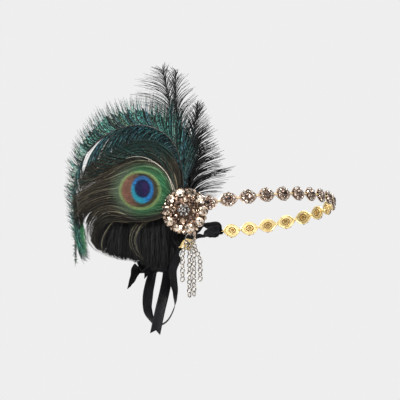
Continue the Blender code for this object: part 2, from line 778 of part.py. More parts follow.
def at_ring(hold, rise, rows):
    """Rows of a route through a link's ring; each row starts with its level above the ring's middle."""
    return [(hold + rise * level + Vector(offset), across, share) for level, offset, across, share in rows]


def near_ribbon(finish):
    """From the knot, through the end link's ring, and down again as the long loop back to the knot."""
    place = end_link_place()
    hold = end_ring_middle(place)
    rise = (place.to_3x3() @ ACROSS_Y).normalized()
    top = knot_point(*KNOT_TOP) + Vector((0.0, 0.0, 2.0 * SEAT_GAP + 0.5 * RIBBON_THICK))
    low = knot_point(*KNOT_LOW) - Vector((0.0, 0.0, 2.0 * SEAT_GAP))
    route = shifted(top, NEAR_FROM_KNOT) + at_ring(hold, rise, NEAR_AT_RING) + list(NEAR_LOOP)
    route.append((low, (1.0, 0.0, 0.0), NEAR_END_SHARE))
    ribbon("near_ribbon", route, finish)


def far_ribbon(finish, joints):
    """From the knot round the back of the head, through the last link's ring and back beside itself."""
    place = link_frame(joints[-2], joints[-1] - joints[-2], LOOP_UP)
    hold = end_ring_middle(place)
    rise = (place.to_3x3() @ ACROSS_Y).normalized()
    first = knot_point(*KNOT_BACK_RIGHT) + Vector((0.0, SEAT_GAP, 0.0))
    last = knot_point(*KNOT_BACK_LEFT) + Vector((0.0, SEAT_GAP, 0.0))
    route = [(first, (0.0, 0.0, 1.0), FAR_END_SHARE)]
    route += list(FAR_OUT) + at_ring(hold, rise, FAR_AT_RING) + list(FAR_RETURN)
    route.append((last, (0.0, 0.0, -1.0), FAR_END_SHARE))
    ribbon("far_ribbon", route, finish)


def bow_knot(finish):
    """A rounded wrap of ribbon: three oval sections along its length and a smaller one at each end."""
    bm = bmesh.new()
    half = 0.5 * KNOT_SIZE
    rings = []
    for place, share in ((-1.0, 0.72), (-0.62, 1.0), (0.0, 0.9), (0.62, 1.0), (1.0, 0.72)):
        ring = circle(half.y * share, half.z * share, 0.0, 10, math.radians(18.0))
        rings.append(add_ring(bm, [KNOT_CENTRE + Vector((half.x * place, p.x, p.y)) for p in ring]))
    bm.faces.new(rings[0])
    for first, second in zip(rings, rings[1:]):
        bridge(bm, first, second)
    bm.faces.new(rings[-1])
    add_object("bow_knot", finish_mesh(bm, "bow_knot"), finish)


def tails(finish):
    behind = 0.5 * KNOT_SIZE.y + SEAT_GAP + 0.5 * RIBBON_THICK
    left_end = KNOT_CENTRE - Vector((0.5 * KNOT_SIZE.x + SEAT_GAP, 0.0, 0.0))
    behind_knot = KNOT_CENTRE + Vector((0.0, behind, 0.0))
    ribbon("main_tail", shifted(behind_knot, MAIN_TAIL_ROOT) + list(MAIN_TAIL_FALL), finish, "swallow")
    ribbon("pointed_tail", shifted(left_end, POINTED_TAIL_ROOT) + list(POINTED_TAIL_FALL), finish, "slant")
    ribbon("notched_tail", shifted(left_end, NOTCHED_TAIL), finish, "swallow")


def main():
    clear_scene()
    gold = material("gold_plate", (0.83, 0.60, 0.24), 0.25, 1.0)
    rose = material("rose_gold_and_crystal", (0.72, 0.50, 0.38), 0.2, 0.9)
    steel = material("tassel_silver", (0.62, 0.57, 0.50), 0.25, 1.0)
    eye = material("peacock_eye_barbs", (0.10, 0.26, 0.12), 0.55, 0.0)
    teal = material("teal_herl", (0.02, 0.17, 0.16), 0.55, 0.0)
    black = material("black_plume", (0.02, 0.02, 0.025), 0.7, 0.0)
    satin = material("black_satin", (0.015, 0.015, 0.018), 0.35, 0.0)
    joints = band(gold)
    brooch(rose, joints[0], joints[1] - joints[0])
    tassel(steel)
    feather("eye_feather", EYE_SPAN, EYE_SPINE, EYE_BLADE, 0, 8, math.radians(25.0), eye)
    feather("teal_feather", TEAL_SPAN, TEAL_SPINE, TEAL_BLADE, 1, 12, math.radians(20.0), teal)
    feather("tall_plume", TALL_SPAN, TALL_SPINE, TALL_BLADE, 2, 9, math.radians(35.0), black)
    feather("side_plume", SIDE_SPAN, SIDE_SPINE, SIDE_BLADE, 3, 7, math.radians(10.0), black)
    feather("feather_pad", PAD_SPAN, PAD_SPINE, PAD_BLADE, 2, 9, 0.0, black)
    bow_knot(satin)
    near_ribbon(satin)
    far_ribbon(satin, joints)
    tails(satin)


main()
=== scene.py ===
"""Flapper feather headband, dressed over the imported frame.

Lengths are millimetres in the frame's own axes, and Batch scales them to metres when it makes a piece.
Feathers are laid out in the picture plane: their tables give points in the photograph's pixels, which
view_to_brooch() turns into places across and up the brooch at the depth of the feather's layer.
"""

import math
import random

import bpy
import numpy as np
from mathutils import Matrix, Vector


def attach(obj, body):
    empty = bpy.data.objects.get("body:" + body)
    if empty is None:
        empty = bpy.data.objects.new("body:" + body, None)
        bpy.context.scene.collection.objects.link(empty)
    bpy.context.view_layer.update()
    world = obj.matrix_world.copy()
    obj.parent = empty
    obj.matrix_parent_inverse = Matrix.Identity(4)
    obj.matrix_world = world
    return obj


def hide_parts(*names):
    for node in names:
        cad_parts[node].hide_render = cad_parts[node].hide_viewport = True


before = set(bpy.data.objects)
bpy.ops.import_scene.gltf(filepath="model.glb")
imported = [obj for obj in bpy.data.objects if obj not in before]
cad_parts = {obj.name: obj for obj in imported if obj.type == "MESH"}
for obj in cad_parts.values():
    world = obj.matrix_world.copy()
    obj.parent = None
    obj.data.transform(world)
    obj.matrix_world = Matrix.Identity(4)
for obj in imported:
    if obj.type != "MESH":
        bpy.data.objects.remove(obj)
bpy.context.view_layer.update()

MM = 0.001
BODY = "root"

# The frame's own sizes, as in the part's source
HEAD_LENGTH = 205.0
HEAD_WIDTH = 154.0
PLAN_TURN = math.radians(45.0)
BAND_TILT = math.radians(10.2)
CHAIN_START = math.radians(248.5)
CHAIN_LINKS = 18
LINK_PITCH = 19.65
PLATE_LENGTH = LINK_PITCH - 1.45
PLATE_HEIGHT = 13.2
PLATE_THICK = 0.7
PLATE_POWER = 1.6
EYELET_INSET = 1.6
RING_RADIUS = 2.2
RING_WIRE = 0.38
CLUSTER_RADIUS = 7.4
BROOCH_CENTRE = Vector((-58.9, -90.0, -15.1))
BROOCH_TURN = math.radians(12.0)
BROOCH_RADIUS = 23.2
END_LINK_HOLE = Vector((9.2, -30.0, 1.0))
END_LINK_SLOPE = math.radians(18.0)
END_LUG_HALF_WIDTH = 3.0
TASSEL_RING_RADIUS = 4.6
TASSEL_RING_WIRE = 0.45
TASSEL_ACROSS = 5.4
TASSEL_OUT = 5.2
TASSEL_LUG_RADIUS = 1.9
TASSEL_LUG_DROP = 22.3
LUG_WIRE = 0.5
CABLE_PITCH = 4.12
CABLE_WIRE = 0.4
CABLE_HALF_WIDTH = 1.8
CABLE_WELD = 0.26
CABLE_SLACK = 0.25
CABLE_SPLAY = 0.42
# Each strand's place on the ring in degrees, where it hangs across and out, and its number of links
STRANDS = (
    (-140.0, -1.4, 1.9, 10),
    (-112.0, 5.0, -0.2, 13),
    (-68.0, 9.8, 1.9, 13),
    (-40.0, 15.4, -0.7, 10),
)
FEATHER_THICK = 2.5
FEATHER_GAP = 0.35
FEATHER_BEND = 700.0
RIBBON_WIDTH = 10.0
GATHERED = 0.2
KNOT_CENTRE = Vector((-85.6, -45.0, -62.6))
KNOT_SIZE = Vector((16.0, 9.6, 9.2))
SEAT_GAP = 0.3
# Halvings in the search for each joint's place on the loop
HALVINGS = 40

# The photograph's view: how far off, how far the camera looks up, and the pixel that the origin falls on
VIEW_DISTANCE = 2600.0
VIEW_PITCH = math.radians(11.1)
VIEW_CENTRE = (245.0, 213.6)
FRAME_PIXELS = 400.0
SENSOR_MM = 36.0
# Where the search for a pixel's place starts, the share of the way that each step goes, and its steps
START_PIXEL = (184.0, 211.0)
START_SCALE = (0.988, 0.985)
STEP_SHARE = 0.97
STEPS = 8

# Painted glints: tones that a stone's facets take in turn by a seeded draw, bright and dark in place of
# reflections
PAINTED_GLINT_TONES = (0.10, 0.22, 0.45, 0.75, 1.0, 1.35, 1.7)
PAINTED_GLINTS = random.Random(77)

X_AXIS = Vector((1.0, 0.0, 0.0))
Y_AXIS = Vector((0.0, 1.0, 0.0))
Z_AXIS = Vector((0.0, 0.0, 1.0))
TURN = 2.0 * math.pi
WHITE = (1.0, 1.0, 1.0)

ACROSS = Vector((math.cos(BROOCH_TURN), -math.sin(BROOCH_TURN), 0.0))
UP = Vector((0.0, 0.0, 1.0))
OUT = ACROSS.cross(UP)
LOOP_UP = Vector((-math.sin(BAND_TILT), 0.0, math.cos(BAND_TILT)))
LINK_MIDDLE = Vector((0.5 * PLATE_LENGTH - EYELET_INSET, 0.0, 0.0))

# What the dressed pieces add to the frame's plainer shapes
LINK_STEPS = 48
PLATE_PAST_LENGTH = 2.2
PLATE_PAST_HEIGHT = 0.6
PETALS = 9
OUTER_STONES = 10
INNER_STONES = 8
END_LINK_SCALE = 0.76
CABLE_PAST_WIDTH = 0.3
CABLE_PAST_WIRE = 0.18
SHARP_ANGLE = math.radians(50)

# Feathers: how far barbs spread out of their sheet, how many go behind it and how far, how the barbules
# shift from barb to barb, and how far the quill and the dark sheet of painted shade lie from the sheet
BARB_SPREAD = 1.7
BEHIND_SHARE = 0.25
BEHIND_DEPTH = 1.3
BARBULE_SHIFT = 0.37
QUILL_LIFT = 0.9
SHADE_SHEET_DEPTH = 1.15
BLACK_TINT = np.array((0.007, 0.007, 0.008))

# Ribbons: rows in each span, points across, thickness, the rise of the edges, the depth of the gathers and
# how far along a cut end reaches
RIBBON_FINE = 10
RIBBON_COLUMNS = 9
SATIN_THICK = 0.4
RIBBON_CUP = 0.5
FOLD_DEPTH = 1.3
CUT_REACH = 9.0
WEFT_SPACING = 0.35

# Where the lights look, in metres
LIGHT_AIM = Vector((-0.02, -0.04, 0.0))


# Curves


def smooth_point(points, place):
    """A point on the smooth curve through the points; place runs from 0 to the number of spans."""
    spans = len(points) - 1
    i = min(int(place), spans - 1)
    t = place - i
    before = points[i - 1] if i > 0 else points[0] * 2.0 - points[1]
    after = points[i + 2] if i + 2 <= spans else points[spans] * 2.0 - points[spans - 1]
    p, q = points[i], points[i + 1]
    return 0.5 * (
        2.0 * p + (q - before) * t + (2.0 * before - 5.0 * p + 4.0 * q - after) * t**2
        + (3.0 * p - before - 3.0 * q + after) * t**3
    )


class Curve:
    """A smooth curve through points of a plane, read by the share of its length."""

    def __init__(self, points, fine=240):
        rows = [np.array(p, float) for p in points]
        places = np.linspace(0.0, len(rows) - 1, fine)
        self.points = np.array([smooth_point(rows, p) for p in places])
        steps = np.linalg.norm(np.diff(self.points, axis=0), axis=1)
        lengths = np.concatenate(([0.0], np.cumsum(steps)))
        self.length = lengths[-1]
        self.shares = lengths / lengths[-1]

    def at(self, share):
        return np.array([np.interp(share, self.shares, column) for column in self.points.T]).T

    def along(self, share):
        step = self.at(min(share + 0.01, 1.0)) - self.at(max(share - 0.01, 0.0))
        return step / (np.linalg.norm(step) + 1e-9)


def smooth_step(x, low, high):
    t = np.clip((x - low) / (high - low), 0.0, 1.0)
    return t * t * (3.0 - 2.0 * t)


# The photograph's view and the brooch's plane


def to_view(x, y, z):
    """The pixel that a point falls on."""
    v = -y * math.sin(VIEW_PITCH) + z * math.cos(VIEW_PITCH)
    depth = y * math.cos(VIEW_PITCH) + z * math.sin(VIEW_PITCH)
    k = VIEW_DISTANCE / (VIEW_DISTANCE + depth)
    return VIEW_CENTRE[0] + x * k, VIEW_CENTRE[1] - v * k


def brooch_point(across, up, out):
    return BROOCH_CENTRE + ACROSS * across + UP * up + OUT * out


def layer_depth(layer):
    return -(FEATHER_GAP + 0.5 * FEATHER_THICK) - layer * (FEATHER_GAP + FEATHER_THICK)


def bend(across, up):
    """How far a feather's sheet has curved back at a place."""
    return -(across * across + up * up) / (2.0 * FEATHER_BEND)


def plane_to_world(across, up, out):
    """Places across, up and out of the brooch as an array of points in the frame."""
    c, a, o = BROOCH_CENTRE, ACROSS, OUT
    return np.stack([
        c.x + a.x * across + o.x * out,
        c.y + a.y * across + o.y * out,
        c.z + up,
    ], axis=-1)


def view_to_brooch(points, layer):
    """Turns pixels into places across and up the brooch, on the bent sheet of a feather's layer."""
    pixels = np.array(points, float)
    across = (pixels[:, 0] - START_PIXEL[0]) * START_SCALE[0]
    up = (START_PIXEL[1] - pixels[:, 1]) * START_SCALE[1]
    for _ in range(STEPS):
        world = plane_to_world(across, up, layer_depth(layer) + bend(across, up))
        px, py = to_view(world[:, 0], world[:, 1], world[:, 2])
        across = across + (pixels[:, 0] - px) * STEP_SHARE
        up = up + (py - pixels[:, 1]) * STEP_SHARE
    return np.stack([across, up], axis=-1)


def brooch_to_view(points, layer):
    world = plane_to_world(points[:, 0], points[:, 1], layer_depth(layer) + bend(points[:, 0], points[:, 1]))
    px, py = to_view(world[:, 0], world[:, 1], world[:, 2])
    return np.stack([px, py], axis=-1)


# Meshes


def scene_object(name, data):
    """An object of the data, linked into the scene."""
    made = bpy.data.objects.new(name, data)
    bpy.context.scene.collection.objects.link(made)
    return made


def turns(count, start=0.0):
    """Equal turns round a circle, from a share of one step."""
    return [TURN * (k + start) / count for k in range(count)]


def around(turn, first, second):
    return first * math.cos(turn) + second * math.sin(turn)


def square_axes(axis, side):
    """The axis, the side made square to it, and the third direction."""
    axis = axis.normalized()
    side = (side - axis * side.dot(axis)).normalized()
    return axis, side, axis.cross(side)


def hoops(rings, sides, closed=False):
    """Quads between rings of points, joined into a hoop or capped at both ends."""
    faces = []
    for i in range(rings if closed else rings - 1):
        j = (i + 1) % rings
        for k in range(sides):
            m = (k + 1) % sides
            faces.append([i * sides + k, i * sides + m, j * sides + m, j * sides + k])
    if not closed:
        faces.append(list(range(sides))[::-1])
        faces.append([(rings - 1) * sides + k for k in range(sides)])
    return faces


def sheet_faces(rows, columns):
    """Quads of a sheet whose points are listed row by row."""
    starts = [r * columns + c for r in range(rows - 1) for c in range(columns - 1)]
    return [[a, a + 1, a + columns + 1, a + columns] for a in starts]


class Batch:
    """Points, faces and colours of one mesh, gathered in millimetres."""

    def __init__(self):
        self.verts, self.faces, self.tints, self.grains, self.slots, self.soft = [], [], [], [], [], []
        self.count = 0

    def add(self, verts, faces, tint=WHITE, grain=None, slot=0, soft=True):
        verts = np.asarray(verts, float).reshape(-1, 3)
        n = len(verts)
        self.verts.append(verts)
        self.faces += [[i + self.count for i in face] for face in faces]
        self.slots += [slot] * len(faces)
        self.soft += [soft] * len(faces)
        self.tints.append(np.broadcast_to(np.asarray(tint, float), (n, 3)))
        self.grains.append(np.zeros((n, 3)) if grain is None else np.asarray(grain, float))
        self.count += n

    def piece(self, name, finishes, smooth=True, angle=None):
        mesh = bpy.data.meshes.new(name)
        verts = np.concatenate(self.verts) * MM
        mesh.from_pydata(verts.tolist(), [], self.faces)
        tint = mesh.attributes.new("tint", "FLOAT_COLOR", "POINT")
        colours = np.concatenate([np.concatenate(self.tints), np.ones((self.count, 1))], axis=1)
        tint.data.foreach_set("color", colours.ravel())
        grain = mesh.attributes.new("grain", "FLOAT_VECTOR", "POINT")
        grain.data.foreach_set("vector", np.concatenate(self.grains).ravel())
        for finish in finishes:
            mesh.materials.append(finish)
        mesh.polygons.foreach_set("material_index", self.slots)
        mesh.polygons.foreach_set("use_smooth", [smooth and soft for soft in self.soft])
        mesh.update()
        if angle is not None:
            mesh.set_sharp_from_angle(angle=angle)
        return scene_object(name, mesh)


def dress(piece, slot, *nodes):
    """The piece rides with the frame and stands for the nodes, which are hidden. The slot is not used."""
    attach(piece, BODY)
    if nodes:
        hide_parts(*nodes)


def tube(batch, points, radius, sides=8, closed=False, tint=WHITE, slot=0):
    """A round wire along points; radius is one number or one for each point."""
    points = [Vector(p) for p in points]
    n = len(points)
    radii = [radius] * n if isinstance(radius, (int, float)) else radius
    tangents = []
    for i in range(n):
        a = points[(i - 1) % n] if closed or i > 0 else points[0]
        b = points[(i + 1) % n] if closed or i < n - 1 else points[-1]
        tangents.append((b - a).normalized())
    side = tangents[0].orthogonal().normalized()
    verts = []
    for point, tangent, r in zip(points, tangents, radii):
        side = (side - tangent * side.dot(tangent)).normalized()
        other = tangent.cross(side)
        verts += [point + around(turn, side, other) * r for turn in turns(sides)]
    batch.add(verts, hoops(n, sides, closed), tint, None, slot)


def oval(centre, along, across, half_long, half_wide, count=24):
    """Points of an oval loop."""
    return [centre + along * (half_long * math.cos(t)) + across * (half_wide * math.sin(t))
            for t in turns(count)]


def turned(batch, centre, axis, side, profile, sides=16, lobes=0, dip=0.0, slot=0):
    """A turned form: its profile's rows are radius and height; lobes cut dips in the rim."""
    axis, side, other = square_axes(axis, side)
    verts = []
    for radius, height in profile:
        for turn in turns(sides):
            r = radius * (1.0 - dip * (0.5 - 0.5 * math.cos(turn * lobes))) if lobes else radius
            verts.append(centre + side * (r * math.cos(turn)) + other * (r * math.sin(turn)) + axis * height)
    batch.add(verts, hoops(len(profile), sides), WHITE, None, slot)


def bead(batch, centre, radius, slot, rows=5, sides=8):
    """A small round ball."""
    verts, faces = [], []
    for i in range(1, rows):
        lean = math.pi * i / rows
        for turn in turns(sides):
            way = around(turn, X_AXIS, Y_AXIS) * math.sin(lean) + Z_AXIS * math.cos(lean)
            verts.append(centre + way * radius)
    top, low = len(verts), len(verts) + 1
    verts += [centre + Z_AXIS * radius, centre - Z_AXIS * radius]
    for i in range(rows - 2):
        for k in range(sides):
            m = (k + 1) % sides
            faces.append([i * sides + k, (i + 1) * sides + k, (i + 1) * sides + m, i * sides + m])
    for k in range(sides):
        m = (k + 1) % sides
        faces.append([top, k, m])
        faces.append([low, (rows - 2) * sides + m, (rows - 2) * sides + k])
    batch.add(verts, faces, WHITE, None, slot)


def cut_stone(batch, centre, axis, side, radius, slot, tint=WHITE, mains=8):
    """A brilliant cut: girdle, kite facets, star facets and a table whose fan shows the facets behind it.
    Each facet's tint is a painted glint.
    """
    axis, side, other = square_axes(axis, side)

    def ring(count, r, height, start=0.0):
        return [centre + around(t, side, other) * (r * radius) + axis * (height * radius)
                for t in turns(count, start)]

    low = ring(2 * mains, 0.98, -0.35)
    girdle = ring(2 * mains, 1.0, 0.0)
    kite = ring(mains, 0.80, 0.30, 0.5)
    table = ring(mains, 0.54, 0.46)
    middle = centre + axis * (0.47 * radius)
    facets = [low[::-1]]
    for i in range(2 * mains):
        j = (i + 1) % (2 * mains)
        facets.append([low[i], low[j], girdle[j], girdle[i]])
    for i in range(mains):
        n = (i + 1) % mains
        a, b, c = girdle[2 * i], girdle[2 * i + 1], girdle[(2 * i + 2) % (2 * mains)]
        facets += [[a, b, kite[i]], [b, c, kite[i]], [a, kite[i], table[i], kite[i - 1]],
                   [table[i], kite[i], table[n]], [table[i], table[n], middle]]
    for facet in facets:
        glint = PAINTED_GLINTS.choice(PAINTED_GLINT_TONES)
        batch.add(facet, [list(range(len(facet)))], [c * glint for c in tint], None, slot, False)


def loft(batch, rings, slot=0, closed=False):
    """Joins rings of the same count and closes the ends, or leaves them joined as a hoop."""
    points = [p for ring in rings for p in ring]
    batch.add(points, hoops(len(rings), len(rings[0]), closed), WHITE, None, slot)


# Finishes


def shader_of(name):
    made = bpy.data.materials.new(name)
    made.use_nodes = True
    tree = made.node_tree
    return made, tree, tree.nodes["Principled BSDF"]


def node(tree, kind, **values):
    made = tree.nodes.new(kind)
    for key, value in values.items():
        setattr(made, key, value)
    return made


def feed(tree, socket, value):
    """Links a node's output to a socket, or sets the socket's own value."""
    if isinstance(value, bpy.types.NodeSocket):
        tree.links.new(value, socket)
    else:
        socket.default_value = (*value, 1.0) if isinstance(value, tuple) else value


def feed_all(tree, made, **values):
    """Feeds sockets by name, with a low line for each space in the name."""
    for key, value in values.items():
        feed(tree, made.inputs[key.replace("_", " ")], value)


def mix_colours(tree, share, first, second, mode="MIX"):
    made = node(tree, "ShaderNodeMix", data_type="RGBA", blend_type=mode)
    for socket, value in ((made.inputs[0], share), (made.inputs[6], first), (made.inputs[7], second)):
        feed(tree, socket, value)
    return made.outputs[2]


def maths(tree, operation, *values):
    made = node(tree, "ShaderNodeMath", operation=operation)
    for socket, value in zip(made.inputs, values):
        feed(tree, socket, value)
    return made.outputs[0]


def grey(tree, value):
    made = node(tree, "ShaderNodeCombineXYZ")
    for socket in made.inputs:
        feed(tree, socket, value)
    return made.outputs[0]


def noise(tree, scale, detail=3.0, coordinate="Object"):
    made = node(tree, "ShaderNodeTexNoise")
    where = node(tree, "ShaderNodeTexCoord").outputs[coordinate]
    feed_all(tree, made, Scale=scale, Detail=detail, Vector=where)
    return made.outputs["Fac"]


def remap(tree, value, low, high, to_low, to_high):
    made = node(tree, "ShaderNodeMapRange")
    feed_all(tree, made, Value=value, From_Min=low, From_Max=high, To_Min=to_low, To_Max=to_high)
    return made.outputs["Result"]


def bump(tree, shader, height, strength, distance):
    made = node(tree, "ShaderNodeBump")
    feed_all(tree, made, Strength=strength, Distance=distance, Height=height)
    feed(tree, shader.inputs["Normal"], made.outputs["Normal"])


def attribute(tree, name, output):
    return node(tree, "ShaderNodeAttribute", attribute_name=name).outputs[output]


def stripes(tree, spacing):
    """A wave along a barb or ribbon, from the run in millimetres that its grain carries."""
    split = node(tree, "ShaderNodeSeparateXYZ")
    feed(tree, split.inputs[0], attribute(tree, "grain", "Vector"))
    return maths(tree, "SINE", maths(tree, "MULTIPLY", split.outputs[0], TURN / spacing))


def metal(name, light, dark, roughness, spread, scale=900.0, dents=0.12):
    """Plated metal: the colour drifts between two tones and the polish is uneven."""
    made, tree, shader = shader_of(name)
    drift = remap(tree, noise(tree, scale), 0.35, 0.65, 0.0, 1.0)
    polish = remap(tree, noise(tree, scale * 2.5), 0.3, 0.7, roughness, roughness + spread)
    feed_all(tree, shader, Base_Color=mix_colours(tree, drift, light, dark), Roughness=polish, Metallic=1.0)
    bump(tree, shader, noise(tree, scale * 1.2), dents, 0.00015)
    return made


def crystal(name, light, dark, roughness, scale):
    """A foil-backed stone: painted glints, the colour drifting between a bright and a dark tone, times each
    facet's painted glint tint.
    """
    made, tree, shader = shader_of(name)
    glint = remap(tree, noise(tree, scale, 1.0), 0.4, 0.6, 0.0, 1.0)
    colour = mix_colours(tree, glint, light, dark)
    tint = attribute(tree, "tint", "Color")
    feed_all(tree, shader, Base_Color=mix_colours(tree, 1.0, colour, tint, "MULTIPLY"), Metallic=0.85,
             Roughness=roughness, Coat_Weight=0.6, Coat_Roughness=0.03)
    return made


def barbs(name, roughness, spacing, depth, specular):
    """Feather barbs: the colour comes with each barb, broken into fine barbules along it."""
    made, tree, shader = shader_of(name)
    wave = stripes(tree, spacing)
    shade = remap(tree, wave, -1.0, 1.0, 1.0 - depth, 1.0)
    speck = remap(tree, noise(tree, 1400.0, 2.0), 0.35, 0.65, 0.6, 1.25)
    tone = grey(tree, maths(tree, "MULTIPLY", shade, speck))
    colour = mix_colours(tree, 1.0, attribute(tree, "tint", "Color"), tone, "MULTIPLY")
    feed_all(tree, shader, Base_Color=colour, Roughness=roughness, Specular_IOR_Level=specular)
    bump(tree, shader, wave, 0.3, 0.0002)
    return made


def satin(name, colour, painted_sheen_colour):
    """Satin ribbon: fine weft lines across it, a soft gloss and a fine drift of tone towards a lighter
    painted sheen.
    """
    made, tree, shader = shader_of(name)
    drift = remap(tree, noise(tree, 120.0), 0.35, 0.65, 0.0, 1.0)
    polish = remap(tree, noise(tree, 500.0), 0.3, 0.7, 0.3, 0.42)
    feed_all(tree, shader, Base_Color=mix_colours(tree, drift, colour, painted_sheen_colour), Roughness=polish,
             Specular_IOR_Level=0.12, Anisotropic=0.6)
    bump(tree, shader, stripes(tree, WEFT_SPACING), 0.15, 0.0001)
    return made


GOLD = metal("yellow_gold_plate", (0.98, 0.81, 0.44), (0.90, 0.70, 0.33), 0.40, 0.08, 300.0, 0.03)
# A darker gold for the links' cup floor and groove: painted shade in these recesses
PAINTED_SHADE_GOLD = metal("painted_shade_gold", (0.52, 0.35, 0.14), (0.34, 0.22, 0.08), 0.42, 0.1, 300.0, 0.03)
# Near-black rose gold for the links' skirts and settings and the brooch's setting and some beads
ROSE = metal("dark_rose_gold", (0.20, 0.13, 0.09), (0.05, 0.03, 0.022), 0.25, 0.25)
PALE_ROSE = metal("pale_rose_gold", (0.78, 0.62, 0.50), (0.40, 0.28, 0.21), 0.18, 0.2)
SILVER = metal("brown_silver_chain", (0.62, 0.57, 0.50), (0.20, 0.165, 0.135), 0.14, 0.2)
CHAMPAGNE = crystal("champagne_crystal", (0.95, 0.79, 0.67), (0.60, 0.44, 0.34), 0.08, 420.0)
SMOKY = crystal("smoky_crystal", (0.40, 0.28, 0.22), (0.12, 0.08, 0.065), 0.08, 520.0)
CLEAR = crystal("clear_crystal", (0.94, 0.92, 0.89), (0.50, 0.47, 0.44), 0.06, 520.0)
EYE_BARBS = barbs("eye_feather_barbs", 0.55, 0.8, 0.25, 0.2)
TEAL_BARBS = barbs("teal_herl_barbs", 0.5, 1.5, 0.2, 0.25)
BLACK_BARBS = barbs("black_barbs", 0.5, 1.0, 0.3, 0.22)
QUILL = barbs("pale_quill", 0.3, 6.0, 0.15, 0.7)
BLACK_SATIN = satin("black_satin_ribbon", (0.005, 0.005, 0.006), (0.009, 0.009, 0.011))

# A link's and the brooch's finishes, with the places that they have in them
LINK_FINISHES = (GOLD, SMOKY, CHAMPAGNE, PALE_ROSE, ROSE, PAINTED_SHADE_GOLD)
PLATE, SMOKY_STONE, PALE_STONE, PALE_METAL, DARK_METAL, PAINTED_SHADE = range(6)
BROOCH_FINISHES = (ROSE, PALE_ROSE, CHAMPAGNE, SMOKY, CLEAR)
B_DARK_METAL, B_PALE_METAL, B_PALE_STONE, B_SMOKY_STONE, B_CLEAR_STONE = range(5)


# Band links


def loop_point(turn):
    """A point on the tilted oval that the band follows."""
    x, y = 0.5 * HEAD_LENGTH * math.cos(turn), 0.5 * HEAD_WIDTH * math.sin(turn)
    plan_x = x * math.cos(PLAN_TURN) - y * math.sin(PLAN_TURN)
    plan_y = x * math.sin(PLAN_TURN) + y * math.cos(PLAN_TURN)
    return Vector((plan_x * math.cos(BAND_TILT), plan_y, plan_x * math.sin(BAND_TILT)))


def chain_joints():
    """Places on the loop that lie one link apart in a straight line."""
    turn = CHAIN_START - PLAN_TURN
    joints = [loop_point(turn)]
    for _ in range(CHAIN_LINKS):
        low, high = turn, turn + 3.0 * LINK_PITCH / HEAD_WIDTH
        for _ in range(HALVINGS):
            middle = 0.5 * (low + high)
            if (loop_point(middle) - joints[-1]).length < LINK_PITCH:
                low = middle
            else:
                high = middle
        turn = low
        joints.append(loop_point(turn))
    return joints


def link_frame(joint, along, up):
    along = along.normalized()
    up = (up - along * up.dot(along)).normalized()
    place = Matrix((along, up, along.cross(up))).transposed().to_4x4()
    place.translation = joint
    return place


def end_link_place():
    hole = brooch_point(*END_LINK_HOLE)
    along = -ACROSS * math.cos(END_LINK_SLOPE) - UP * math.sin(END_LINK_SLOPE)
    return link_frame(hole, along, UP)


def marquise(length, height):
    """A pointed oval about the origin."""
    points = []
    for turn in turns(LINK_STEPS):
        x = math.cos(turn)
        rise = max(0.0, 1.0 - abs(x) ** (PLATE_POWER + 0.5))
        y = 0.5 * height * rise * (1 if math.sin(turn) >= 0 else -1)
        points.append(Vector((0.5 * length * x, y, 0.0)))
    return points


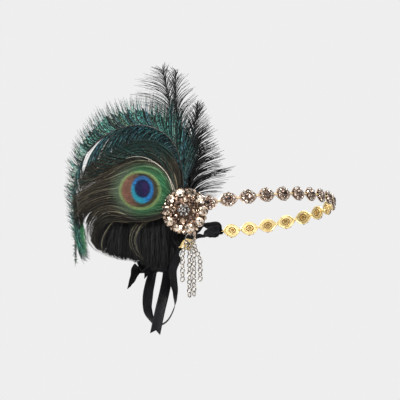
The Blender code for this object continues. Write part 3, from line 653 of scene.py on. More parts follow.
def link_batch():
    """One link about its hole: a gold marquise plate behind, a flower of stones in front."""
    batch = Batch()
    back = -PLATE_THICK
    outline = marquise(PLATE_LENGTH + PLATE_PAST_LENGTH, PLATE_HEIGHT + PLATE_PAST_HEIGHT)

    def plate_ring(scale, level):
        return [p * scale + Z_AXIS * level + LINK_MIDDLE for p in outline]

    def oval_ring(half_long, half_wide, level):
        return oval(LINK_MIDDLE + Z_AXIS * level, X_AXIS, Y_AXIS, half_long, half_wide, LINK_STEPS)

    # The plate, with a rolled edge, a sunk field, a raised oval and a cup whose floor has painted shade in a
    # darker gold
    loft(batch, [oval_ring(0.6, 0.6, -0.25), oval_ring(2.1, 2.0, -0.25), oval_ring(2.1, 2.0, 0.1)], PAINTED_SHADE)
    rings = [
        oval_ring(2.0, 1.9, 0.35),
        oval_ring(1.95, 1.85, back - 0.9),
        oval_ring(2.15, 2.0, back - 1.15),
        oval_ring(2.6, 2.4, back - 1.15),
        oval_ring(2.9, 2.65, back - 0.45),
        oval_ring(4.2, 3.2, back - 0.35),
        oval_ring(4.6, 3.5, back - 0.95),
        oval_ring(5.3, 4.1, back - 0.95),
        oval_ring(5.6, 4.4, back - 0.1),
        plate_ring(0.88, back + 0.05),
        plate_ring(0.93, back - 0.3),
        plate_ring(1.0, back + 0.05),
        plate_ring(1.0, -0.1),
        plate_ring(0.97, 0.05),
        oval_ring(3.0, 3.0, 0.3),
    ]
    loft(batch, rings, PLATE, True)
    # The plate's rim and front face, the last four hoops, are in the pale rose gold
    rim = 4 * LINK_STEPS
    batch.slots[-rim:] = [PALE_METAL] * rim
    # A ring of the darker gold in the groove: painted shade
    groove = LINK_MIDDLE + Z_AXIS * (back - 0.42)
    tube(batch, oval(groove, X_AXIS, Y_AXIS, 3.55, 2.95, 32), 0.45, 6, True, slot=PAINTED_SHADE)
    ring_middle = Vector((LINK_PITCH - RING_RADIUS, 0.0, 0.0))
    ring = oval(ring_middle, X_AXIS, Z_AXIS, RING_RADIUS, RING_RADIUS, 20)
    tube(batch, ring, RING_WIRE, 8, True, slot=PLATE)
    # Scalloped skirt, its petals' tips past the stones
    skirt = ((4.0, 0.1), (CLUSTER_RADIUS, 0.7), (CLUSTER_RADIUS, 1.0), (4.6, 1.7))
    turned(batch, LINK_MIDDLE, Z_AXIS, X_AXIS, skirt, 72, PETALS, 0.16, slot=DARK_METAL)
    for turn in turns(PETALS):
        out = around(turn, X_AXIS, Y_AXIS)
        lean = around(0.42, Z_AXIS, out).normalized()
        cut_stone(batch, LINK_MIDDLE + out * 5.45 + Z_AXIS * 1.7, lean, out, 1.6, PALE_STONE, mains=6)
        between = around(turn + math.pi / PETALS, X_AXIS, Y_AXIS)
        bead(batch, LINK_MIDDLE + between * 6.6 + Z_AXIS * 1.3, 0.42, PALE_METAL)
        bead(batch, LINK_MIDDLE + between * 3.95 + Z_AXIS * 2.4, 0.42, PALE_METAL)
    turned(batch, LINK_MIDDLE, Z_AXIS, X_AXIS, ((3.9, 0.8), (3.75, 2.2), (3.3, 2.5)), 24, slot=DARK_METAL)
    cut_stone(batch, LINK_MIDDLE + Z_AXIS * 2.45, Z_AXIS, X_AXIS, 3.3, SMOKY_STONE)
    return batch


def dress_band():
    """All the links share one mesh, and the end link is smaller about its middle."""
    joints = chain_joints()
    places = [link_frame(a, b - a, LOOP_UP) for a, b in zip(joints, joints[1:])] + [end_link_place()]
    names = [f"band_link_{i:02d}" for i in range(CHAIN_LINKS)] + ["end_link"]
    shared = link_batch().piece(f"{names[0]}_jewel", LINK_FINISHES, True, SHARP_ANGLE)
    for i, (name, place) in enumerate(zip(names, places)):
        made = scene_object(f"{name}_jewel", shared.data) if i else shared
        place.translation = place.translation * MM
        if name == "end_link":
            middle = Matrix.Translation(LINK_MIDDLE * MM)
            place = place @ middle @ Matrix.Scale(END_LINK_SCALE, 4) @ middle.inverted()
        made.matrix_world = place
        dress(made, "gold_plate", name)
    return joints


# Brooch


def dress_brooch(joints):
    """Ten round stones about a ring of small ones, on a pierced setting with claws."""
    rng = random.Random(5)
    batch = Batch()
    to_flat = Matrix((ACROSS, UP, OUT))
    flat = to_flat.transposed()

    def at(turn, radius, out):
        return flat @ Vector((math.cos(turn) * radius, math.sin(turn) * radius, out)) + BROOCH_CENTRE

    def way(turn, lean):
        """A direction that leans from straight out towards the rim."""
        tip = math.sin(lean)
        return (flat @ Vector((math.cos(turn) * tip, math.sin(turn) * tip, math.cos(lean)))).normalized()

    def radial(turn):
        return (flat @ Vector((math.cos(turn), math.sin(turn), 0.0))).normalized()

    def stone(turn, radius, out, lean, size, slot, tint=WHITE, mains=6):
        cut_stone(batch, at(turn, radius, out), way(turn, lean), radial(turn), size, slot, tint, mains)

    def lug(middle, along, across, half_long, half_wide):
        loop = [flat @ p + BROOCH_CENTRE for p in oval(middle, along, across, half_long, half_wide)]
        tube(batch, loop, LUG_WIRE, 8, True, slot=B_PALE_METAL)

    turned(batch, BROOCH_CENTRE, OUT, ACROSS,
           ((12.0, 0.1), (BROOCH_RADIUS - 1.6, 0.1), (BROOCH_RADIUS - 0.6, 0.8), (BROOCH_RADIUS - 1.2, 1.8),
            (17.0, 3.0), (13.4, 5.2), (8.5, 6.6), (6.0, 7.0)), 120, OUTER_STONES, 0.1, slot=B_DARK_METAL)
    start = math.radians(-75.0)
    for step in turns(OUTER_STONES):
        turn = start + step
        lean, side, centre = way(turn, 0.32), radial(turn), at(turn, 18.2, 4.2)
        turned(batch, centre, lean, side, ((4.5, -2.6), (4.75, 0.2), (4.4, 0.65)), 24, slot=B_DARK_METAL)
        tone = 1.0 + 0.25 * rng.random()
        cut_stone(batch, centre + lean * 0.7, lean, side, 5.0, B_PALE_STONE, (tone, tone * 0.97, tone * 0.92))
        for claw in turns(4, 0.5):
            spot = centre + around(claw, side, lean.cross(side)) * 4.45 + lean * 1.0
            bead(batch, spot, 0.55, B_PALE_METAL)
        half = turn + math.pi / OUTER_STONES
        stone(half, 21.3, 2.6, 0.5, 1.8, B_PALE_STONE, (0.8, 0.72, 0.64))
        stone(half, 14.0, 6.2, 0.5, 1.9, B_PALE_STONE, (0.6, 0.5, 0.43))
    for i in range(INNER_STONES):
        turn = start + TURN * (i + 0.5) / INNER_STONES
        lean = way(turn, 0.21)
        centre = at(turn, 10.2, 7.0) + lean * 0.6
        cut_stone(batch, centre, lean, radial(turn), 2.6, B_PALE_STONE if i % 2 else B_SMOKY_STONE,
                  (0.8, 0.7, 0.62), 6)
        half = turn + math.pi / INNER_STONES
        bead(batch, at(half, 10.4, 7.9), 0.7, B_PALE_METAL)
        bead(batch, at(half, 7.2, 8.5), 0.6, B_DARK_METAL)
        bead(batch, at(turn, 12.9, 7.2), 0.6, B_PALE_METAL)
    for turn in turns(6):
        stone(turn, 4.6, 8.3, 0.3, 1.75, B_CLEAR_STONE)
        bead(batch, at(turn + 0.5, 5.9, 8.5), 0.5, B_PALE_METAL)
    cut_stone(batch, at(0.0, 0.0, 9.0), OUT, ACROSS, 2.5, B_CLEAR_STONE)
    # The lugs of the chain, the end link and the tassel
    hole = to_flat @ (joints[0] - BROOCH_CENTRE)
    along = to_flat @ (joints[1] - joints[0]).normalized()
    facing = along.cross(to_flat @ LOOP_UP).normalized()
    reach = -hole.z / facing.z + 0.5
    lug(hole - along * reach, along, facing, reach, reach)
    rim = math.sqrt(BROOCH_RADIUS**2 - END_LINK_HOLE.x**2) - 2.4
    half_long = 0.5 * (-END_LINK_HOLE.y - rim)
    lug(END_LINK_HOLE + Y_AXIS * half_long, Y_AXIS, Z_AXIS, half_long, END_LUG_HALF_WIDTH)
    tassel_middle = Vector((TASSEL_ACROSS, -TASSEL_LUG_DROP, TASSEL_OUT))
    lug(tassel_middle, Y_AXIS, Z_AXIS, TASSEL_LUG_RADIUS, TASSEL_LUG_RADIUS)
    dress(batch.piece("brooch_jewels", BROOCH_FINISHES, True, SHARP_ANGLE), "rose_gold", "brooch")


# Tassel


def dress_tassel():
    """The ring and its strands of oval links, each hung from the last."""
    top = TASSEL_LUG_DROP + TASSEL_LUG_RADIUS - LUG_WIRE - TASSEL_RING_WIRE - SEAT_GAP
    centre = Vector((TASSEL_ACROSS, -top - TASSEL_RING_RADIUS, TASSEL_OUT))
    batch = Batch()
    loop = oval(brooch_point(*centre), UP, ACROSS, TASSEL_RING_RADIUS, TASSEL_RING_RADIUS, 32)
    tube(batch, loop, TASSEL_RING_WIRE, 10, True)
    dress(batch.piece("tassel_ring_wire", (SILVER,)), "tassel_silver", "tassel_ring")
    half_long = 0.5 * CABLE_PITCH + CABLE_WIRE - 0.5 * CABLE_WELD

    def splay(distance):
        return max(-CABLE_SPLAY, min(CABLE_SPLAY, distance / CABLE_PITCH))

    for number, (place, hang_across, hang_out, links) in enumerate(STRANDS, 1):
        turn = math.radians(place)
        clear = (TASSEL_RING_WIRE + CABLE_WIRE + CABLE_SLACK) / abs(math.sin(turn))
        above = clear - (CABLE_WIRE - 0.5 * CABLE_WELD)
        first_down = Vector((0.0, -1.0, splay(hang_out))).normalized()
        joint = centre + around(turn, X_AXIS, Y_AXIS) * TASSEL_RING_RADIUS - first_down * above
        target = Vector((hang_across, 0.0, TASSEL_OUT + hang_out))
        batch = Batch()
        for i in range(links):
            down = first_down
            if i:
                down = Vector((splay(target.x - joint.x), -1.0, splay(target.z - joint.z))).normalized()
            middle = joint + down * (0.5 * CABLE_PITCH)
            wide = X_AXIS * 0.94 + Z_AXIS * 0.34 if i % 2 else Z_AXIS * 0.90 - X_AXIS * 0.44
            wide = (wide - down * wide.dot(down)).normalized()
            half_wide = CABLE_HALF_WIDTH + CABLE_PAST_WIDTH
            flat = [brooch_point(*p) for p in oval(middle, down, wide, half_long, half_wide, 22)]
            tube(batch, flat, CABLE_WIRE + CABLE_PAST_WIRE, 8, True)
            joint = joint + down * CABLE_PITCH
        dress(batch.piece(f"tassel_strand_{number}", (SILVER,)), "tassel_silver", f"tassel_chain_{number}")


# Feathers


def strips(batch, paths, widths, tints, depth, rng, twist=0.9, slot=0, behind=True):
    """Lays barbs as thin strips. Each path is places across and up the brooch; widths and tints go along it.
    A quarter of them go behind the dark sheet of painted shade, so the feather's back has barbs too."""
    for index, (path, width, tint) in enumerate(zip(paths, widths, tints)):
        n = len(path)
        steps = np.linalg.norm(np.diff(path, axis=0), axis=1)
        run = np.concatenate(([0.0], np.cumsum(steps)))
        offset = depth + (rng.random() - 0.5) * BARB_SPREAD
        if behind and rng.random() < BEHIND_SHARE:
            offset = depth - BEHIND_DEPTH - 0.4 * rng.random()
        out = offset + bend(path[:, 0], path[:, 1])
        tangent = np.gradient(path, axis=0)
        tangent /= np.linalg.norm(tangent, axis=1)[:, None] + 1e-9
        turn = (rng.random() - 0.5) * 2.0 * twist
        half = 0.5 * np.asarray(width)
        side = np.stack([-tangent[:, 1], tangent[:, 0]], axis=-1) * (half * math.cos(turn))[:, None]
        tip = half * math.sin(turn)
        verts, grain = np.empty((2 * n, 3)), np.zeros((2 * n, 3))
        for edge, sign in ((0, 1.0), (1, -1.0)):
            spots = path + side * sign
            verts[edge::2] = plane_to_world(spots[:, 0], spots[:, 1], out + tip * sign)
            grain[edge::2, 0] = run + index * BARBULE_SHIFT
            grain[edge::2, 1] = -sign
        colours = np.repeat(np.broadcast_to(tint, (n, 3)), 2, axis=0)
        faces = [[2 * i, 2 * i + 1, 2 * i + 3, 2 * i + 2] for i in range(n - 1)]
        batch.add(verts, faces, colours, grain, slot)


def quill(batch, path, depth, radius_root, radius_tip, tint, slot=0):
    world = plane_to_world(path[:, 0], path[:, 1], depth + QUILL_LIFT + bend(path[:, 0], path[:, 1]))
    radii = list(np.linspace(radius_root, radius_tip, len(path)))
    tube(batch, [Vector(p) for p in world], radii, 6, False, tint, slot)


def taper(n, width, root=0.6, tip=0.15, teeth=0.0):
    """Widths along a barb: it swells, then thins to its tip, with teeth where barbules stand out."""
    t = np.linspace(0.0, 1.0, n)
    shape = np.minimum(root + (1.0 - root) * t / 0.2, 1.0)
    shape = shape * (1.0 - (1.0 - tip) * np.clip((t - 0.55) / 0.45, 0, 1))
    if teeth:
        shape = shape * np.where(np.arange(n) % 2 == 0, 1.0, 1.0 - teeth)
    return width * shape


def tapers(paths, rng, width, root=0.6, tip=0.15, teeth=0.0, least=0.6, more=0.8):
    """Widths for each path, a random share of the width."""
    return [taper(len(path), width * (least + more * rng.random()), root, tip, teeth) for path in paths]


def fan(guides, count, stations, rng, layer, wobble=0.6, start=0.0, shorten=0.12, crowd=1.0, cross=0.12):
    """Barbs that run between neighbouring guide curves, given in pixels."""
    curves = [Curve(view_to_brooch(g, layer)) for g in guides]
    spans = len(curves) - 1
    paths = []
    for i in range(count):
        s = ((i + rng.random()) / count) ** crowd * spans
        drift = (rng.random() - 0.5) * 2.0 * cross * spans
        first = start * rng.random()
        last = 1.0 - shorten * rng.random() ** 1.5
        shares = np.linspace(first, last, stations)
        rows = np.stack([curve.at(shares) for curve in curves])
        # A barb that strays past the first or last guide turns back, so that none bunch up there
        lanes = np.abs(s + drift * (shares - 0.3))
        lanes = np.clip(spans - np.abs(spans - lanes), 0.0, spans - 1e-6)
        k = lanes.astype(int)
        mix = (lanes - k)[:, None]
        each = np.arange(stations)
        path = rows[k, each] * (1.0 - mix) + rows[k + 1, each] * mix
        phase, pace = rng.random() * 6.3, 1.0 + 2.0 * rng.random()
        sway = wobble * (rng.random() - 0.5) * 2.0
        normal = np.gradient(path, axis=0)
        normal = np.stack([-normal[:, 1], normal[:, 0]], axis=-1)
        normal /= np.linalg.norm(normal, axis=1)[:, None] + 1e-9
        paths.append(path + normal * (np.sin(phase + pace * np.linspace(0, 3.1, stations)) * sway)[:, None])
    return paths


def shade(batch, guides, layer, reach, tint, rag=0.12, columns=90, rows=14):
    """A dark ragged sheet between guide curves, behind the barbs: painted shade where no light shows through
    them.
    """
    rng = random.Random(len(guides) * 7 + columns)
    curves = [Curve(view_to_brooch(g, layer)) for g in guides]
    verts = []
    for i in range(columns):
        lane = i / (columns - 1) * (len(curves) - 1)
        k = min(int(lane), len(curves) - 2)
        mix = lane - k
        far = reach - rag * rng.random()
        for j in range(rows):
            share = j / (rows - 1) * far
            spot = curves[k].at(share) * (1.0 - mix) + curves[k + 1].at(share) * mix
            depth = layer_depth(layer) - SHADE_SHEET_DEPTH + bend(spot[0], spot[1])
            verts.append(plane_to_world(spot[0], spot[1], depth))
    batch.add(verts, sheet_faces(columns, rows), tint)


def vane(quill_points, tips, count, stations, rng, layer, lead, spread, start, end, stray):
    """Barbs from a quill to an outline; rows of tips are the share along the quill and the tip's pixel."""
    stem = Curve(view_to_brooch(quill_points, layer))
    ends = view_to_brooch([row[1] for row in tips], layer)
    keys = [row[0] for row in tips]
    paths, places = [], []
    for i in range(count):
        t = start + (end - start) * (i + rng.random()) / count
        root = stem.at(t)
        tip = np.array([np.interp(t, keys, ends[:, k]) for k in range(2)])
        reach = tip - root
        size = np.linalg.norm(reach)
        tip = root + reach * (1.0 - stray * rng.random() ** 2 + 0.5 * stray * rng.random() ** 4)
        tip = tip + np.array([rng.random() - 0.5, rng.random() - 0.5]) * spread * 2.0
        control = root + stem.along(t) * size * lead * (0.8 + 0.4 * rng.random()) + reach * 0.12
        s = np.linspace(0.0, 1.0, stations)[:, None]
        paths.append(root * (1 - s) ** 2 + control * 2 * s * (1 - s) + tip * s**2)
        places.append(t)
    return paths, places, stem


def stem_share(points, layer, pixel):
    """The share of a quill's length that lies nearest a pixel."""
    stem = Curve(view_to_brooch(points, layer))
    spot = view_to_brooch([pixel], layer)[0]
    return float(stem.shares[np.argmin(np.linalg.norm(stem.points - spot, axis=1))])


def tip_rows(points, layer, pairs):
    return sorted((stem_share(points, layer, root), tip) for root, tip in pairs)


def blend_rows(rows, t):
    """Reads a colour between rows of place and colour."""
    keys = [r[0] for r in rows]
    return np.stack([np.interp(t, keys, [r[1][k] for r in rows]) for k in range(3)], axis=-1)


# The eye feather


EYE_LAYER = 0
# Middles and half sizes of the eye's ellipses, in pixels
EYE_PX = (139.0, 190.3)
EYE_HALF = (19.6, 18.2)
BLUE_PX = (141.4, 189.6)
BLUE_HALF = (11.2, 14.0)
DARK_PX = (141.6, 188.6)
DARK_HALF = (8.0, 9.4)
# Guide curves that the barbs follow from the root to their tips
EYE_UPPER = (
    ((176, 199), (168, 184), (159, 171.5), (148, 166.0), (136, 167.0), (124, 172), (110, 180), (94, 187),
     (75, 195)),
    ((177, 198), (170, 179), (160, 164.5), (147, 158.0), (133, 157.6), (118, 162), (103, 170), (87, 178),
     (72, 188)),
    ((178, 197), (173, 174), (164, 159), (149, 149.5), (134, 149), (117, 154), (100, 163), (85, 172),
     (75, 181)),
    ((180, 196), (177, 170), (168, 152), (153, 142), (138, 141), (122, 146), (106, 155), (90, 164),
     (78, 172)),
)
EYE_MIDDLE = (
    ((176, 200), (160, 196), (146, 193), (133, 190), (120, 189), (108, 190), (95, 193), (83, 199), (69, 210)),
    ((176, 202), (160, 202), (146, 201), (133, 199), (120, 197), (108, 197), (95, 200), (83, 206), (72, 222)),
    ((176, 204), (162, 208), (147, 210.5), (134, 210), (121, 206), (108, 203), (96, 206), (86, 214),
     (78, 232)),
)
EYE_TOP_MIDDLE = (
    ((176, 199), (168, 184), (159, 171.5), (148, 166.0), (136, 167.0), (124, 172), (109, 179), (91, 186),
     (71, 196)),
    ((176, 200), (166, 190), (156, 181), (146, 177), (134, 177), (122, 181), (108, 185), (91, 190),
     (70, 202)),
    EYE_MIDDLE[0],
)
EYE_LOWER = (
    ((176, 204), (162, 208), (147, 210.5), (134, 210), (121, 206), (108, 203), (96, 206), (87, 215),
     (84, 230)),
    ((175, 206), (162, 211), (147, 213.5), (132, 214), (118, 210), (106, 209), (95, 215), (88, 226),
     (89, 242)),
    ((174, 208), (160, 214), (144, 217.5), (128, 218), (114, 215), (103, 216), (94, 225), (91, 238),
     (98, 251)),
    ((173, 210), (158, 217), (142, 221), (126, 222), (113, 221), (103, 226), (97, 237), (99, 248),
     (110, 256)),
)
EYE_ARCH = (
    (176, 197), (170, 177), (163, 166), (151, 159), (142, 157), (131, 157), (117, 163), (103, 171), (88, 181),
)
# Where the barbs of each point of the arch end
EYE_ARCH_TIPS = (
    (169, 158), (158, 143), (143, 135), (124, 136), (112, 141), (101, 148), (89, 160), (80, 172), (75, 186),
)
# Pale quills that arch over the eye, with their radii
EYE_QUILLS = (
    (((172, 190), (167, 176), (160, 167), (151, 160.5), (142, 157.0), (133, 156.6), (125, 158.5)), 0.34),
    (((175, 194), (170, 181), (163.5, 171), (155, 163.5), (147, 160.2)), 0.22),
)


def ellipse_share(points, centre, half):
    """How far points lie from the middle of an ellipse, 1 on its edge."""
    u, v = ((points - np.array(centre)) / np.array(half)).T
    return np.sqrt(u * u + v * v), u, v


def over(colour, other, share):
    """One colour laid over another by a share for each point."""
    return colour * (1 - share)[:, None] + np.array(other) * share[:, None]


def eye_colour(pixels):
    """The eye's zones: a bronze field, a blue ring and a violet middle inside a fine gold-green edge."""
    ring, u, v = ellipse_share(pixels, EYE_PX, EYE_HALF)
    blue, bu, bv = ellipse_share(pixels, BLUE_PX, BLUE_HALF)
    dark, du, _ = ellipse_share(pixels, DARK_PX, DARK_HALF)
    left = smooth_step(u, 0.1, -0.75)
    # Loose barbs about the eye: green at the right, grey-green and then brown further left, teal far above
    near = over(np.array((0.06, 0.20, 0.085)), (0.11, 0.16, 0.10), left)
    colour = over(near, (0.062, 0.052, 0.034), smooth_step(ring, 1.02, 1.75))
    colour = over(colour, (0.035, 0.19, 0.075), smooth_step(u, 0.6, 1.15) * (1 - smooth_step(ring, 1.1, 1.7)))
    colour = colour * (1 - 0.7 * smooth_step(pixels[:, 1], 208.0, 220.0))[:, None]
    colour = over(colour, (0.022, 0.075, 0.062), smooth_step(v, -1.5, -2.3))
    # The field and its fine edge
    bronze = over(np.array((0.06, 0.055, 0.03)), (0.27, 0.125, 0.085), left)
    colour = over(colour, bronze, smooth_step(ring, 0.98, 0.92))
    edge = smooth_step(ring, 1.10, 1.02) * smooth_step(ring, 0.90, 0.97)
    colour = over(colour, (0.25, 0.33, 0.12), 0.85 * edge)
    # The blue ring, greener at its lower left and darker at its top
    azure = over(np.array((0.02, 0.20, 0.52)), (0.03, 0.38, 0.50), smooth_step(bv - bu, 0.1, 1.1))
    azure = over(azure, (0.05, 0.10, 0.24), 0.55 * smooth_step(bv, -0.4, -0.95))
    colour = over(colour, azure, smooth_step(blue, 1.04, 0.93))
    glow = smooth_step(du, -0.2, 0.5) * smooth_step(dark, 1.0, 0.3)
    violet = np.array((0.010, 0.012, 0.07)) + np.array((0.05, 0.0, 0.06)) * (glow * 0.6)[:, None]
    return over(colour, violet, smooth_step(dark, 1.06, 0.9))


def eye_tints(paths, rng):
    """The eye's colours along long barbs, calm within the eye and rough outside it."""
    made = []
    for path in paths:
        pixels = brooch_to_view(path, EYE_LAYER)
        rough = smooth_step(ellipse_share(pixels, EYE_PX, EYE_HALF)[0], 1.1, 1.6)[:, None]
        luck = rng.random()
        tone = 0.08 + 1.3 * rng.random() ** 2.0 if luck < 0.9 else 2.0 + 3.0 * rng.random()
        waves = 1.0 + 0.45 * np.sin(rng.random() * 6.3 + np.linspace(0, 9 + 9 * rng.random(), len(path)))
        calm = 0.7 + 0.6 * rng.random()
        made.append(eye_colour(pixels) * (calm * (1 - rough) + tone * rough * waves[:, None]))
    return made


def eye_long_barbs(batch, depth, rng):
    """Barbs that sweep round the eye, and those that rise from the arch over it into the teal."""
    for guides, count, width, sway, trim, crowd in (
        (EYE_UPPER, 330, 0.6, 2.2, 0.22, 1.7), (EYE_TOP_MIDDLE, 330, 0.68, 1.6, 0.18, 1.0),
        (EYE_MIDDLE, 400, 0.68, 1.6, 0.18, 1.0), (EYE_LOWER, 240, 0.6, 1.4, 0.3, 1.0),
    ):
        paths = fan(guides, count, 24, rng, EYE_LAYER, sway, 0.05, trim, crowd, 0.3)
        strips(batch, paths, tapers(paths, rng, width), eye_tints(paths, rng), depth, rng, 0.8)
    rows = tip_rows(EYE_ARCH, EYE_LAYER, zip(EYE_ARCH, EYE_ARCH_TIPS))
    stations = 18
    paths, _, _ = vane(EYE_ARCH, rows, 420, stations, rng, EYE_LAYER, 0.15, 2.6, 0.0, 1.0, 0.4)
    tints = []
    for path in paths:
        tone = 0.1 + 1.2 * rng.random() ** 2
        olive = np.array((0.06, 0.055, 0.035)) if rng.random() < 0.5 else np.array((0.02, 0.075, 0.065))
        tints.append(np.outer([tone * (0.5 + rng.random()) for _ in range(stations)], olive))
    strips(batch, paths, tapers(paths, rng, 0.5), tints, depth + 0.4, rng, 0.8)
    # A dark sheet behind the barbs: painted shade
    shade_guides = (EYE_UPPER[1], EYE_UPPER[0], EYE_MIDDLE[0], EYE_MIDDLE[2], EYE_LOWER[1])
    shade(batch, shade_guides, EYE_LAYER, 0.93, (0.007, 0.008, 0.005), 0.2)


def eye_sheet(batch, depth):
    """The fine sheet that carries the eye's zones, domed a little."""
    rows, columns, pitch = 61, 67, 0.72
    pixels = np.array([(EYE_PX[0] + (c - columns // 2) * pitch, EYE_PX[1] + (r - rows // 2) * pitch)
                       for r in range(rows) for c in range(columns)])
    plane = view_to_brooch(pixels, EYE_LAYER)
    inside, u, v = ellipse_share(pixels, EYE_PX, (EYE_HALF[0] * 1.12, EYE_HALF[1] * 1.12))
    puff = 1.05 + 0.5 * (1.0 - np.clip(inside, 0, 1) ** 2)
    world = plane_to_world(plane[:, 0], plane[:, 1], depth + puff + bend(plane[:, 0], plane[:, 1]))
    faces = [f[::-1] for f in sheet_faces(rows, columns) if all(inside[k] < 1.0 for k in f)]
    used = sorted({k for f in faces for k in f})
    lookup = {k: i for i, k in enumerate(used)}
    grain = np.zeros((len(used), 3))
    grain[:, 0] = np.arctan2(v, u)[used] * 14.0
    batch.add(world[used], [[lookup[k] for k in f] for f in faces], eye_colour(pixels[used]), grain)


def eye_short_barbs(batch, depth, rng):
    """Short close barbs that lean forward, away from a quill that runs through the eye from right to left."""
    short = []
    for _ in range(1500):
        turn = rng.random() * TURN
        r = math.sqrt(rng.random())
        x = EYE_PX[0] + EYE_HALF[0] * r * math.cos(turn)
        y = EYE_PX[1] + EYE_HALF[1] * r * math.sin(turn)
        lean = math.radians(28.0) * (1 if y < EYE_PX[1] else -1)
        run = 3.2 + 1.5 * rng.random()
        dx, dy = -math.cos(lean) * run, -math.sin(lean) * run
        short.append([(x - dx * 0.5, y - dy * 0.5), (x, y - 0.15), (x + dx * 0.5, y + dy * 0.5)])
    paths = [view_to_brooch(s, EYE_LAYER) for s in short]
    tints = [eye_colour(np.array(s)) * (0.8 + 0.4 * rng.random()) for s in short]
    widths = [np.array([0.1, 0.4, 0.1])] * len(paths)
    strips(batch, paths, widths, tints, depth + 1.75, random.Random(3), 0.5, behind=False)


def dress_eye_feather():
    rng = random.Random(11)
    batch = Batch()
    depth = layer_depth(EYE_LAYER)
    eye_long_barbs(batch, depth, rng)
    eye_sheet(batch, depth)
    eye_short_barbs(batch, depth, rng)
    for points, radius in EYE_QUILLS:
        path = Curve(view_to_brooch(points, EYE_LAYER)).at(np.linspace(0, 1, 30))
        quill(batch, path, depth + 0.5, radius, 0.12, (0.72, 0.66, 0.55), 1)
    dress(batch.piece("eye_feather_barbs", (EYE_BARBS, QUILL)), "peacock_eye", "eye_feather")


# The teal feather


TEAL_LAYER = 1
TEAL_STATIONS = 30
TEAL_QUILL = (
    (183, 204), (181.5, 176), (177, 152), (168, 137.5), (155.6, 128.9), (140.3, 125), (128.9, 125.8),
    (113.6, 130.4), (102, 137.3), (90.6, 146.5), (83, 158), (77.6, 169.4), (74.5, 180), (73, 197),
    (73.8, 219), (74.5, 242), (74.5, 262),
)
# Roots and tips of the barbs outside the curve, inside it and along its hanging end
TEAL_TIPS = (
    (
        ((182.5, 195), (199, 150)), ((181.5, 176), (193, 125)), ((177, 152), (181, 105)),
        ((168, 137.5), (166, 97)),
        ((161.7, 133.4), (157, 96)), ((155.6, 128.9), (146, 95)), ((140.3, 125), (128, 96)),
        ((128.9, 125.8), (112, 102)), ((113.6, 130.4), (97, 109)), ((102, 137.3), (87, 119)),
        ((90.6, 146.5), (78, 132)), ((83, 158), (72, 146)), ((77.6, 169.4), (68, 160)),
        ((74.5, 180), (66, 175)),
        ((73, 197), (65, 192)), ((73.8, 219), (67, 213)), ((74.5, 236), (72.3, 233)),
        ((74.5, 262), (74.5, 262)),
    ),
    (
        ((182.5, 195), (168, 192)), ((181.5, 176), (163, 178)), ((177, 152), (156, 172)),
        ((168, 137.5), (143, 168)),
        ((155.6, 128.9), (127, 168)), ((140.3, 125), (109, 172)), ((128.9, 125.8), (97, 180)),
        ((113.6, 130.4), (85, 190)), ((106, 134.5), (79, 198)),
    ),
    (
        ((84, 156), (90, 182)), ((79, 166), (82, 196)), ((77.6, 169.4), (80, 205)), ((74.5, 180), (82, 222)),
        ((73, 197), (85, 244)), ((73.8, 219), (87, 257)), ((74.5, 232), (84, 260)),
    ),
)
# Colours by place along the quill
TEAL_OUTER_COLOURS = (
    (0.0, (0.012, 0.045, 0.045)), (0.18, (0.024, 0.085, 0.08)), (0.35, (0.060, 0.17, 0.15)),
    (0.6, (0.080, 0.20, 0.175)), (0.8, (0.105, 0.20, 0.175)), (1.0, (0.05, 0.17, 0.10)),
)
TEAL_INNER_COLOURS = (
    (0.0, (0.010, 0.042, 0.044)), (0.3, (0.020, 0.075, 0.082)), (0.5, (0.028, 0.09, 0.105)),
    (0.7, (0.04, 0.115, 0.12)), (1.0, (0.03, 0.15, 0.09)),
)
# Painted shade: the tint of the dark sheets behind the herls, and the roots and tips that they lie between
TEAL_SHADE_TINT = (0.004, 0.011, 0.012)
TEAL_INNER_SHADE = (
    ((181, 190), (176, 182)), ((178, 156), (172, 175)), ((168, 137.5), (158, 165)),
    ((155.6, 128.9), (143, 158)),
    ((140.3, 125), (127, 156)), ((128.9, 125.8), (117, 155)), ((118, 128.5), (108, 155)),
)
TEAL_OUTER_SHADE = (
    ((181, 190), (192, 165)), ((180, 165), (188, 132)), ((174, 145), (174, 113)),
    ((161.7, 133.4), (158, 107)),
    ((148, 127), (139, 106)), ((135, 125), (122, 108)), ((120, 128), (106, 113)), ((107, 134), (96, 121)),
    ((96, 142), (86, 131)), ((87, 152), (79, 143)),
)
TEAL_STRANDS = (
    ((79, 196), (80.5, 215), (84, 235), (88.0, 259)),
    ((78, 200), (79, 220), (81, 240), (83.0, 262)),
)
TEAL_DROPS = (((74, 235), (74.2, 250), (72.6, 266)), ((75.5, 236), (76, 252), (74.5, 268)))
TEAL_SECOND_QUILL = ((112, 131.5), (101, 139), (91, 149.5), (85, 160), (79, 172))


